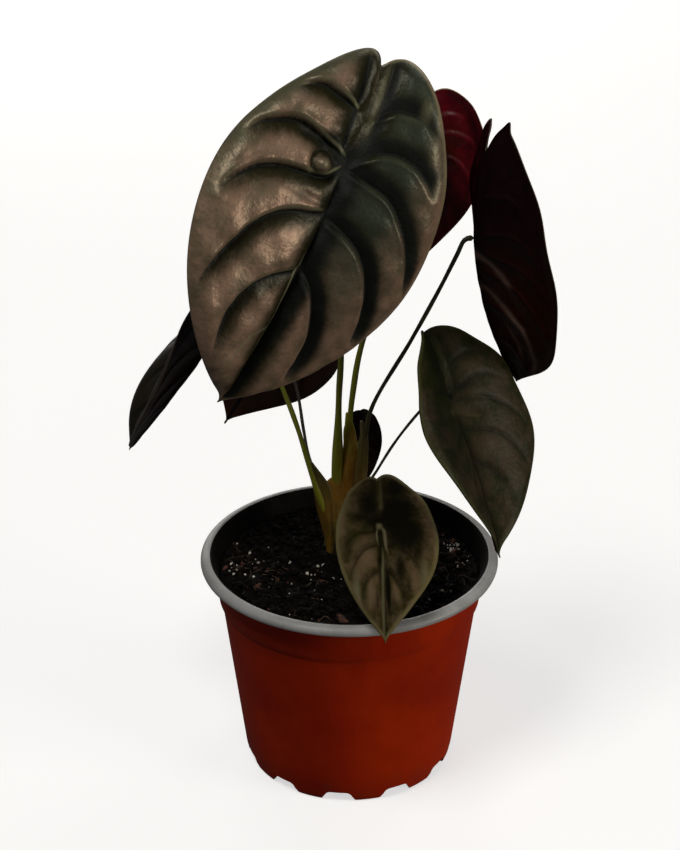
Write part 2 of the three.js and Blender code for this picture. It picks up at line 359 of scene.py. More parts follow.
class Graph:
    """A material under construction: short names for the nodes that the finishes use."""

    def __init__(self, name: str) -> None:
        """Starts an empty material."""
        self.material = bpy.data.materials.new(name)
        self.material.use_nodes = True
        self.tree = self.material.node_tree
        self.tree.nodes.clear()

    def node(self, kind: str, feeds: dict[str | int, Feed] | None = None,
             **settings: object) -> bpy.types.Node:
        """Adds a node.

        Args:
            kind: The node's type, without the words that all types start with.
            feeds: What goes into its inputs: a socket is linked, and a value is set.
            settings: The node's own settings.

        Returns:
            The node.
        """
        node = self.tree.nodes.new("ShaderNode" + kind)
        for name, value in settings.items():
            setattr(node, name, value)
        for key, value in (feeds or {}).items():
            if isinstance(value, Socket):
                self.tree.links.new(value, node.inputs[key])
            else:
                node.inputs[key].default_value = value
        return node

    def place(self) -> Socket:
        """Object coordinates, in metres."""
        return self.node("TexCoord").outputs["Object"]

    def stored(self, name: str) -> Socket:
        """A number kept on the mesh."""
        return self.node("Attribute", attribute_name=name).outputs["Fac"]

    def flat(self) -> Socket:
        """The mesh's own flat coordinates, in decimetres."""
        return self.node("UVMap", uv_map="flat").outputs["UV"]

    def stretch(self, vector: Socket, across: float, along: float = 1) -> Socket:
        """Coordinates stretched: a pattern runs long in z where along is small."""
        feeds = {"Vector": vector, "Scale": (1, across, along)}
        return self.node("Mapping", feeds).outputs["Vector"]

    def grain(self, vector: Socket, scale: float, detail: float = 3,
              roughness: float = 0.55) -> Socket:
        """Soft noise.

        Args:
            vector: Coordinates.
            scale: Blotches per unit of the coordinates.
            detail: Octaves.
            roughness: Strength of each finer octave.

        Returns:
            The noise, about 0.5 in the middle.
        """
        feeds = {"Vector": vector, "Scale": scale, "Detail": detail, "Roughness": roughness}
        return self.node("TexNoise", feeds).outputs["Fac"]

    def cells(self, vector: Socket, scale: float) -> Socket:
        """Distance from the edges of a cell pattern."""
        feeds = {"Vector": vector, "Scale": scale}
        return self.node("TexVoronoi", feeds, feature="DISTANCE_TO_EDGE").outputs["Distance"]

    def span(self, value: Feed, low: float, high: float, start: float = 0,
             end: float = 1) -> Socket:
        """Maps a value from low to high onto start to end, softly.

        Args:
            value: What is mapped.
            low: The value that gives start.
            high: The value that gives end.
            start: Result at low.
            end: Result at high.

        Returns:
            The mapped value.
        """
        feeds = {"Value": value, "From Min": low, "From Max": high, "To Min": start, "To Max": end}
        return self.node("MapRange", feeds, interpolation_type="SMOOTHSTEP").outputs["Result"]

    def sum(self, operation: str, *values: Feed) -> Socket:
        """One step of arithmetic."""
        return self.node("Math", dict(enumerate(values)), operation=operation).outputs[0]

    def times(self, first: Feed, second: Feed) -> Socket:
        """The product."""
        return self.sum("MULTIPLY", first, second)

    def plus(self, first: Feed, second: Feed) -> Socket:
        """The total."""
        return self.sum("ADD", first, second)

    def swing(self, grain: Socket, amount: float) -> Socket:
        """Noise brought to swing about 0, by up to half the amount each way."""
        return self.times(self.sum("SUBTRACT", grain, 0.5), amount)

    def blend(self, share: Feed, first: Feed, second: Feed) -> Socket:
        """Mixes two colours.

        Args:
            share: How much of the second.
            first: Colour, or socket of one.
            second: Colour, or socket of one.

        Returns:
            The mixed colour.
        """
        def four(value: Feed) -> Feed:
            """A colour with its fourth value."""
            return (*value, 1) if isinstance(value, tuple) else value

        feeds = {0: share, 6: four(first), 7: four(second)}
        return self.node("Mix", feeds, data_type="RGBA").outputs[2]

    def lay(self, below: Feed, over: Feed, value: Feed, low: float, high: float,
            most: float = 1) -> Socket:
        """Lays a colour over another where a value is high.

        Args:
            below: The colour so far.
            over: The colour that comes over it.
            value: What decides where.
            low: None of it shows at this value.
            high: The most of it shows at this value.
            most: How much that is, 0 to 1.

        Returns:
            The mixed colour.
        """
        return self.blend(self.span(value, low, high, 0, most), below, over)

    def relief(self, height: Socket, depth: float, below: Socket | None = None) -> Socket:
        """Bump from a height.

        Args:
            height: The height, 0 to 1.
            depth: What a height of 1 stands for, in metres.
            below: A normal that this adds to.

        Returns:
            The normal.
        """
        feeds = {"Height": height, "Distance": depth, "Strength": 1.0}
        if below:
            feeds["Normal"] = below
        return self.node("Bump", feeds).outputs["Normal"]

    def finish(self, colour: Socket, roughness: Feed, **others: Feed) -> Material:
        """Ends the material with its shader.

        Args:
            colour: Base colour.
            roughness: Roughness.
            others: More of the shader's inputs, with _ for a space.

        Returns:
            The material.
        """
        feeds = {"Base Color": colour, "Roughness": roughness}
        feeds.update({key.replace("_", " "): value for key, value in others.items()})
        shader = self.node("BsdfPrincipled", feeds)
        self.node("OutputMaterial", {"Surface": shader.outputs[0]})
        return self.material


@dataclass(frozen=True)
class PotFinish:
    """Satin terracotta-orange plastic with soil stains, and the grey plastic of the lip."""

    orange: Colour = srgb(178, 44, 0)
    deep: Colour = srgb(150, 30, 0)
    scuff: Colour = srgb(186, 74, 26)
    dust: Colour = srgb(104, 66, 40)
    grey: Colour = srgb(166, 167, 168)
    dull_grey: Colour = srgb(142, 142, 141)
    speck: Colour = srgb(82, 66, 54)
    inner: Colour = srgb(8, 7, 6)
    inner_runs: Colour = srgb(20, 17, 15)
    foot_stain: Pair = (0.02, 0.0)
    lip_stain: Pair = (0.088, 0.097)

    def outside(self) -> Material:
        """The wall and the foot."""
        g = Graph("terracotta_plastic")
        place = g.place()
        height = g.node("SeparateXYZ", {0: place}).outputs["Z"]
        cloud = g.grain(place, 26, 4)
        colour = g.lay(self.deep, self.orange, cloud, 0.3, 0.72)
        streaks = g.grain(g.stretch(place, 1, 0.12), 330, 2)
        colour = g.blend(g.times(streaks, 0.22), colour, self.deep)
        at_foot = g.span(height, *self.foot_stain, 0, 0.35)
        under_lip = g.span(height, *self.lip_stain, 0, 0.4)
        blotches = g.span(g.grain(place, 90, 5, 0.7), 0.45, 0.75)
        stain = g.times(g.sum("MAXIMUM", at_foot, under_lip), blotches)
        colour = g.blend(stain, colour, self.dust)
        scratches = g.grain(g.stretch(place, 1, 3), 160, 6, 0.75)
        colour = g.lay(colour, self.scuff, scratches, 0.6, 0.8, 0.08)
        roughness = g.plus(g.times(cloud, 0.16), 0.42)
        fine = g.relief(g.grain(place, 2600, 2), 0.00004)
        waves = g.relief(g.grain(g.stretch(place, 1, 0.35), 60, 2), 0.0006, fine)
        return g.finish(colour, roughness, Normal=waves, Specular_IOR_Level=0.1)

    def rim(self) -> Material:
        """The lip and the top of the inside."""
        g = Graph("grey_plastic")
        place = g.place()
        cloud = g.grain(place, 55, 4)
        colour = g.lay(self.dull_grey, self.grey, cloud, 0.3, 0.7)
        colour = g.lay(colour, self.speck, g.grain(place, 420, 3, 0.7), 0.64, 0.72, 0.75)
        roughness = g.plus(g.times(cloud, 0.2), 0.34)
        fine = g.relief(g.grain(place, 1500, 3), 0.00006)
        return g.finish(colour, roughness, Normal=fine, Specular_IOR_Level=0.35)

    def inside(self) -> Material:
        """The inner wall, painted near-black as shade, with faint lighter runs."""
        g = Graph("shaded_inner_plastic")
        place = g.place()
        runs = g.grain(g.stretch(place, 1, 0.4), 120, 4, 0.65)
        # Painted shade: the inner wall is near-black, with faint lighter runs.
        colour = g.lay(self.inner, self.inner_runs, runs, 0.4, 0.7)
        fine = g.relief(g.grain(place, 700, 3), 0.0001)
        return g.finish(colour, 0.85, Normal=fine, Specular_IOR_Level=0.06)


@dataclass(frozen=True)
class PeatFinish:
    """Loose dark peat: near-black brown crumbs, lighter where they are dry."""

    name: str
    dryness: float = 0.0
    wet: Colour = srgb(4, 3, 3)
    brown: Colour = srgb(17, 12, 8)
    dry: Colour = srgb(48, 34, 25)

    def surface(self) -> Material:
        """The material, browner where the dryness, 0 to 1, is higher."""
        g = Graph(self.name)
        place = g.place()
        clumps = g.grain(place, 240, 5, 0.65)
        colour = g.lay(self.wet, self.brown, clumps, 0.36 - self.dryness * 0.2, 0.66)
        colour = g.lay(colour, self.dry, g.grain(place, 900, 4, 0.7), 0.6, 0.74, 0.6)
        grit = g.relief(g.grain(place, 1500, 4, 0.7), 0.0005)
        normal = g.relief(g.cells(place, 420), 0.0005, grit)
        roughness = g.span(clumps, 0.3, 0.7, 0.72, 0.95)
        return g.finish(colour, roughness, Normal=normal, Specular_IOR_Level=0.08)


@dataclass(frozen=True)
class GrainFinish:
    """A small thing that lies on the peat, in two colours that change from one to the next."""

    name: str
    light: Colour
    dark: Colour
    roughness: float
    pits: float
    scale: float

    def surface(self) -> Material:
        """The material."""
        g = Graph(self.name)
        place = g.place()
        each = g.grain(place, 150, 1)
        fine = g.grain(place, self.scale, 4, 0.65)
        tone = g.plus(g.times(each, 0.6), g.times(fine, 0.4))
        colour = g.lay(self.dark, self.light, tone, 0.35, 0.62)
        return g.finish(colour, self.roughness, Normal=g.relief(fine, self.pits))


@dataclass(frozen=True)
class StalkFinish:
    """Smooth fleshy stalk: one colour at the base that turns into another higher up."""

    name: str
    base: Colour
    middle: Colour
    top: Colour
    streak: Colour
    turn: float = 0.25

    def surface(self) -> Material:
        """The material. It reads climb, which is 0 at the base and 1 at the top."""
        g = Graph(self.name)
        place = g.place()
        climb = g.plus(g.stored("climb"), g.swing(g.grain(place, 90, 2), 0.1))
        colour = g.lay(self.base, self.middle, climb, self.turn - 0.06, self.turn + 0.1)
        colour = g.lay(colour, self.top, climb, self.turn, 1.0)
        lines = g.grain(g.stretch(place, 1, 0.06), 1500, 2)
        colour = g.lay(colour, self.streak, lines, 0.42, 0.72, 0.4)
        spots = g.grain(g.stretch(place, 1, 0.4), 700, 3)
        colour = g.lay(colour, self.base, spots, 0.63, 0.72, 0.35)
        return g.finish(colour, 0.42, Normal=g.relief(lines, 0.00012), Specular_IOR_Level=0.5,
                        Subsurface_Weight=0.06, Subsurface_Scale=0.002)


@dataclass(frozen=True)
class SheathFinish:
    """Fleshy, slightly see-through leaf base with fine lines along it."""

    name: str
    low: Colour
    high: Colour
    rim: Colour
    streak: Colour

    def surface(self) -> Material:
        """The material. It reads climb, 0 at the bottom to 1, and rim, 1 at the margin."""
        g = Graph(self.name)
        place = g.place()
        patch = g.swing(g.grain(place, 130, 3), 0.5)
        colour = g.lay(self.low, self.high, g.plus(g.stored("climb"), patch), 0.25, 0.95)
        lines = g.grain(g.stretch(place, 1, 0.05), 1100, 3)
        colour = g.lay(colour, self.streak, lines, 0.42, 0.7, 0.5)
        stains = g.grain(g.stretch(place, 1, 0.5), 420, 4, 0.65)
        colour = g.lay(colour, darker(self.low, 0.45), stains, 0.56, 0.7, 0.5)
        colour = g.lay(colour, self.rim, g.plus(g.stored("rim"), patch), 0.45, 0.9, 0.9)
        normal = g.relief(lines, 0.00025, g.relief(g.grain(place, 260, 3), 0.0004))
        return g.finish(colour, 0.44, Normal=normal, Specular_IOR_Level=0.35,
                        Subsurface_Weight=0.08, Subsurface_Scale=0.002)


@dataclass(frozen=True)
class BladeFinish:
    """One leaf's colours: panels with a metallic sheen, and dark bands along the sunken veins.

    The bands are partly painted shade. Painted shade also lies beside the creases, and painted
    highlights lie on the crests and in pale streaks.
    """

    name: str
    panel: Colour
    blush_and_highlight: Colour
    cool: Colour
    band: Colour
    crease_shade: Colour
    outer: Colour
    ridge_highlight: Colour
    margin: Colour
    under: Colour
    under_rib: Colour
    under_warm: Colour
    under_highlight: Colour
    sheen: float = 0.3
    gloss: float = 0.38
    shine: float = 0.3
    wrinkle: float = 0.0003
    under_shine: float = 0.3

    def upper(self) -> Material:
        """The upper face. It reads what the blade keeps per vertex."""
        g = Graph(self.name + "_upper")
        flat = g.flat()
        mottle = g.grain(flat, 42, 4, 0.6)
        tone = g.plus(g.times(g.grain(flat, 13, 3, 0.5), 0.65), g.times(mottle, 0.35))
        colour = g.lay(self.panel, self.blush_and_highlight, tone, 0.38, 0.62)
        colour = g.lay(colour, self.outer, g.grain(g.stretch(flat, 1.6), 9, 3), 0.48, 0.66, 0.45)
        # The cool tone is partly the leaf's own and partly painted shade and reflection; the
        # copper-pink glows are partly painted highlights.
        for mark in ("outer", "cool", "blush_and_highlight"):
            colour = g.blend(g.stored(mark), colour, getattr(self, mark))
        net = g.span(g.cells(flat, 34), 0.0, 0.09, 1, 0)
        colour = g.blend(g.times(net, 0.1), colour, self.band)
        colour = g.lay(colour, self.outer, g.grain(flat, 170, 5, 0.7), 0.45, 0.75, 0.25)
        # Painted shade beside the creases and in the ring round the lump.
        crease_shade = g.plus(g.stored("crease_shade"), g.swing(mottle, 0.5))
        colour = g.lay(colour, self.crease_shade, crease_shade, 0.08, 0.92)
        # Dark bands along the veins: partly their own colour, partly painted shade.
        wobble = g.swing(g.grain(flat, 55, 3), 0.3)
        band = g.span(g.plus(g.stored("band"), wobble), 0.1, 0.9)
        colour = g.blend(band, colour, self.band)
        # Painted highlight lines on the crests, with the pale streaks and the web's pale strip.
        colour = g.lay(colour, self.ridge_highlight, g.stored("ridge_highlight"), 0.1, 0.9, 0.8)
        edge = g.plus(g.stored("edge"), g.times(wobble, 0.5))
        colour = g.lay(colour, self.margin, edge, 0.2, 0.9, 0.85)
        roughness = g.plus(g.times(mottle, 0.14), self.gloss - 0.06)
        roughness = g.plus(roughness, g.times(band, 0.25))
        metal = g.times(g.sum("SUBTRACT", 1.0, band), self.sheen)
        wrinkles = g.relief(g.grain(flat, 60, 3, 0.5), self.wrinkle)
        normal = g.relief(g.grain(g.place(), 2600, 2), 0.00002, wrinkles)
        return g.finish(colour, roughness, Metallic=metal, Normal=normal,
                        Specular_IOR_Level=self.shine)

    def lower(self) -> Material:
        """The underside."""
        g = Graph(self.name + "_under")
        flat = g.flat()
        mottle = g.grain(flat, 22, 4, 0.6)
        colour = g.lay(self.under, darker(self.under, 0.55), mottle, 0.3, 0.7)
        cells = g.cells(flat, 26)
        colour = g.blend(g.times(g.span(cells, 0.0, 0.1, 1, 0), 0.35), colour, self.under_rib)
        colour = g.blend(g.stored("blush_and_highlight"), colour, self.under_warm)
        colour = g.lay(colour, self.under_rib, g.stored("rib"), 0.2, 0.9, 0.8)
        # Painted highlights: the pale streaks and strokes.
        colour = g.blend(g.times(g.stored("gleam"), 0.7), colour, self.under_highlight)
        wrinkles = g.relief(g.grain(flat, 20, 2, 0.5), 0.0003)
        normal = g.relief(g.span(cells, 0.0, 0.2, 1, 0), 0.00002, wrinkles)
        roughness = g.plus(g.times(mottle, 0.2), 0.3)
        return g.finish(colour, roughness, Normal=normal, Specular_IOR_Level=self.under_shine)


COPPER = BladeFinish(
    name="copper_blade", panel=srgb(128, 110, 88), blush_and_highlight=srgb(162, 131, 110), cool=srgb(60, 66, 53),
    band=srgb(7, 11, 5), crease_shade=srgb(38, 36, 16), outer=srgb(80, 84, 62), ridge_highlight=srgb(138, 136, 106),
    margin=srgb(150, 136, 106), under=srgb(112, 12, 30), under_rib=srgb(96, 10, 26),
    under_warm=srgb(84, 34, 8), under_highlight=srgb(150, 70, 80), shine=0.24, wrinkle=0.00024,
)
OLIVE = BladeFinish(
    name="olive_blade", panel=srgb(35, 36, 15), blush_and_highlight=srgb(64, 52, 38), cool=srgb(19, 25, 8),
    band=srgb(6, 9, 3), crease_shade=srgb(20, 24, 8), outer=srgb(34, 38, 16), ridge_highlight=srgb(60, 60, 36),
    margin=srgb(58, 60, 32), under=srgb(56, 10, 14), under_rib=srgb(36, 10, 10),
    under_warm=srgb(60, 24, 8), under_highlight=srgb(110, 80, 72), gloss=0.42, sheen=0.05, shine=0.1,
    wrinkle=0.0002,
)
YOUNG = BladeFinish(
    name="young_blade", panel=srgb(54, 46, 14), blush_and_highlight=srgb(98, 80, 58), cool=srgb(28, 28, 7),
    band=srgb(11, 10, 2), crease_shade=srgb(26, 24, 3), outer=srgb(50, 50, 16), ridge_highlight=srgb(100, 96, 70),
    margin=srgb(108, 100, 68), under=srgb(78, 16, 18), under_rib=srgb(40, 12, 10),
    under_warm=srgb(70, 30, 10), under_highlight=srgb(120, 84, 74), gloss=0.52, sheen=0.0, shine=0.04,
    wrinkle=0.0002,
)
MAROON = BladeFinish(
    name="maroon_blade", panel=srgb(30, 26, 18), blush_and_highlight=srgb(40, 32, 24), cool=srgb(24, 26, 18),
    band=srgb(7, 8, 6), crease_shade=srgb(18, 22, 12), outer=srgb(28, 28, 18), ridge_highlight=srgb(50, 48, 36),
    margin=srgb(50, 40, 32), under=srgb(26, 4, 9), under_rib=srgb(16, 3, 6),
    under_warm=srgb(44, 14, 4), under_highlight=srgb(124, 100, 90), gloss=0.34, sheen=0.15, shine=0.16,
    wrinkle=0.0002, under_shine=0.14,
)
BRONZE = replace(
    MAROON, name="bronze_blade", panel=srgb(66, 58, 44), blush_and_highlight=srgb(88, 72, 58),
    cool=srgb(34, 38, 28), band=srgb(8, 11, 6), crease_shade=srgb(28, 28, 16), outer=srgb(46, 46, 30),
    ridge_highlight=srgb(84, 80, 60), margin=srgb(80, 70, 54), gloss=0.4, sheen=0.3, shine=0.2,
)


# --- Pot ---


@dataclass
class Pot:
    """Thermoformed nursery pot: rolled grey lip, shoulder step, lugged foot and drain holes."""

    height: float = 100.5
    lip_radius: float = 65.0
    lip_drop: float = 3.8
    # Under the lip's outer edge and round it: inset from the lip's radius, and rise.
    lip_turn: Rows = (
        (0.9, 0), (0.25, 0.25), (0, 0.9), (0.02, 1.6), (0.25, 2.3), (0.8, 3), (1.7, 3.5))
    crest_radius: float = 61.9
    mouth_radius: float = 59.8
    # Down into the mouth: inset from the mouth's radius, and drop from the top.
    mouth_turn: Rows = ((0, 0.8), (0.5, 1.6), (0.9, 2.8))
    neck_radius: float = 59.2
    shoulder_height: float = 79.8
    shoulder_inset: float = 1.9
    shoulder_step: float = 1.1
    wall_rings: tuple[float, ...] = (14, 24, 36, 48, 60, 70, 77)
    heel_height: float = 6.0
    heel_radius: float = 46.9
    foot_radius: float = 45.4
    foot_wall: float = 2.2
    wall: float = 1.4
    floor_rise: float = 5.4
    floor_corner: float = 2.2
    pad_radius: float = 9.0
    lug_count: int = 11
    lug_height: float = 5.0
    lug_share: float = 0.62
    lug_turn: float = -14.2
    lug_slope: float = 2.1
    lug_rounding: float = 1.8
    hole_count: int = 8
    hole_radius: float = 3.5
    hole_circle: float = 31.0
    cutter_length: float = 12.0
    # Inward faces inside this radius are the inner wall, painted near-black as shade; other inward
    # faces above the next height are grey.
    inner_shade_radius: float = 61.0
    inner_grey_start: float = 13.5
    sharp_edge: float = 32.0
    segments: int = 176
    finish: PotFinish = PotFinish()

    def lip(self) -> list[Pair]:
        """The rolled lip's outline, from under its outer edge over the crest and in."""
        low = self.height - self.lip_drop
        return [
            *((self.lip_radius - inset, low + rise) for inset, rise in self.lip_turn),
            (self.crest_radius, self.height), (self.crest_radius - 1, self.height - 0.12),
            *((self.mouth_radius - inset, self.height - drop) for inset, drop in self.mouth_turn),
        ]

    def outline(self) -> list[Pair]:
        """The whole section, from the middle of the foot, up the outside and down the inside."""
        low = self.height - self.lip_drop
        floor = self.floor_rise + self.wall
        foot, heel = self.foot_radius, self.heel_radius
        neck, step = self.neck_radius, self.shoulder_height
        shoulder = neck - self.shoulder_inset
        inner = shoulder - self.shoulder_step
        slope = (inner - heel) / (step - self.heel_height)
        return [
            (0, 0), (self.pad_radius, 0), (self.pad_radius + 1, self.floor_rise),
            (foot - self.foot_wall, self.floor_rise), (foot - self.foot_wall, 0.4),
            (foot - self.foot_wall + 0.4, 0), (foot - 0.6, 0), (foot, 0.6), (foot + 0.8, 2.6),
            (heel - 0.4, 4.8), (heel, self.heel_height),
            *((heel + slope * (z - self.heel_height), z) for z in self.wall_rings),
            (inner, step - 0.5), (inner + 0.15, step - 0.1), (shoulder - 0.3, step + 0.15),
            (shoulder, step + 0.6), (shoulder + 0.6, 86), (neck - 0.5, low - 3),
            (neck - 0.1, low - 0.5), (neck + 0.5, low - 0.05),
            *self.lip(),
            (neck - self.wall, low - 1), (inner - self.wall, step),
            (heel - self.wall, floor + self.floor_corner),
            (heel - self.wall - self.floor_corner, floor), (self.pad_radius - 1, floor),
            (self.pad_radius - 2, self.wall), (0, self.wall),
        ]

    def gap_block(self, angle: float) -> Piece:
        """The block that cuts one gap between two lugs. Its sides slope and its edges are round."""
        width = FULL_TURN / self.lug_count * (1 - self.lug_share) * self.foot_radius
        reach = self.foot_radius * MM
        Bench.clear()
        bpy.ops.mesh.primitive_cube_add(
            size=MM, location=(reach * math.cos(angle), reach * math.sin(angle), 0),
            rotation=(0, 0, angle), scale=(self.cutter_length, width, 2 * self.lug_height))
        block = bpy.context.object
        for corner in block.data.vertices:
            corner.co.y *= 1 if corner.co.z > 0 else self.lug_slope
        bpy.ops.object.transform_apply(location=True, rotation=True, scale=True)
        rounding = block.modifiers.new("rounding", "BEVEL")
        rounding.width, rounding.segments = self.lug_rounding * MM, 4
        Bench.apply(block)
        return block

    def hole_plug(self, angle: float) -> Piece:
        """The cylinder that cuts one drain hole."""
        reach = self.hole_circle * MM
        Bench.clear()
        bpy.ops.mesh.primitive_cylinder_add(
            vertices=32, radius=self.hole_radius * MM, depth=self.cutter_length * MM,
            location=(reach * math.cos(angle), reach * math.sin(angle), self.floor_rise * MM))
        return bpy.context.object

    def cutters(self) -> Piece:
        """The blocks between the lugs and the plugs of the drain holes, as one tool."""
        pitch, start = FULL_TURN / self.lug_count, math.radians(self.lug_turn)
        tools = [self.gap_block((i + 0.5) * pitch + start) for i in range(self.lug_count)]
        tools += [self.hole_plug(FULL_TURN * i / self.hole_count) for i in range(self.hole_count)]
        Bench.clear()
        for tool in tools:
            tool.select_set(True)
        bpy.context.view_layer.objects.active = tools[0]
        bpy.ops.object.join()
        bpy.ops.object.transform_apply(location=True, rotation=True, scale=True)
        return bpy.context.object

    def material_of(self, middle: Vector, normal: Vector) -> int:
        """Which material a face has.

        Args:
            middle: The face's middle, in metres.
            normal: Where it faces.

        Returns:
            0 for the outside, 1 for the grey lip and floor, and 2 for the inner wall, which is
            painted near-black as shade.
        """
        height = middle.z / MM
        inward = middle.x * normal.x + middle.y * normal.y < 0
        if inward and height > self.floor_rise and middle.xy.length < self.inner_shade_radius * MM:
            return 2
        on_lip = height > self.height - self.lip_drop + 0.1
        on_floor = height > self.floor_rise + 0.2 and normal.z > 0.9
        return int(on_lip or on_floor or (inward and height > self.inner_grey_start))

    def build(self) -> Piece:
        """Makes the pot and takes the place of its node.

        Returns:
            The pot.
        """
        pot = Bench.turned("nursery_pot", self.outline(), self.segments)
        tool = self.cutters()
        cut = pot.modifiers.new("gaps", "BOOLEAN")
        cut.operation, cut.object, cut.solver = "DIFFERENCE", tool, "EXACT"
        Bench.apply(pot)
        bpy.data.objects.remove(tool)
        Bench.paint(pot, self.finish.outside(), self.finish.rim(), self.finish.inside())
        for face in pot.data.polygons:
            face.material_index = self.material_of(face.center, face.normal)
        Bench.place(pot, Slot.POT, "pot", sharp=self.sharp_edge)
        return pot


# --- Peat and what lies on it ---


@dataclass(frozen=True)
class Litter:
    """Lumps of one kind that lie on the peat.

    The radii and the flatness, which is the share of width and of thickness, are the least and
    the most. The roughness is a share of the radius, and sink is the share of the thickness below
    the surface. Each group has its middle x and y, its spread and its count.
    """

    name: str
    finish: PeatFinish | GrainFinish
    count: int
    radii: Pair
    flatness: Pair
    rough: float
    groups: Rows = ()
    subdivisions: int = 2
    sink: float = 0.25


@dataclass(frozen=True)
class Fibres:
    """Thin curved fibres that lie over the crumbs. Each pair is the least and the most."""

    count: int = 50
    groups: Rows = ((46, 8, 8, 12), (-42, 6, 9, 12))
    length: Pair = (4, 13)
    bow: Pair = (-2.5, 2.5)
    radius: Pair = (0.06, 0.14)
    arch: Pair = (0.2, 1.3)
    clearance: float = 0.1
    sides: int = 5
    stations: int = 9
    finish: GrainFinish = GrainFinish(
        "fibre", srgb(96, 76, 52), srgb(50, 36, 24), 0.85, 0.0001, 900)


PERLITE = GrainFinish("perlite", srgb(232, 228, 218), srgb(168, 156, 140), 0.85, 0.0003, 1800)
BARK = GrainFinish("bark", srgb(84, 44, 26), srgb(30, 18, 11), 0.8, 0.0004, 700)
LITTER = (
    Litter("peat_crumbs", PeatFinish("peat_crumb", 0.5), 1500, (0.5, 1.9), (0.55, 0.95), 0.22,
           subdivisions=1),
    Litter("peat_clods", PeatFinish("peat_clod", 0.35), 150, (1.4, 3.4), (0.5, 0.85), 0.2,
           ((40, 12, 12, 30),)),
    Litter("perlite", PERLITE, 50, (0.22, 0.95), (0.7, 1.0), 0.16,
           ((51, 15, 6, 80), (-45, 2, 7, 44), (-25, -18, 10, 8))),
    Litter("bark_chips", BARK, 40, (1.0, 3.0), (0.22, 0.6), 0.18,
           ((-35, -5, 14, 10), (46, 12, 7, 16))),
)


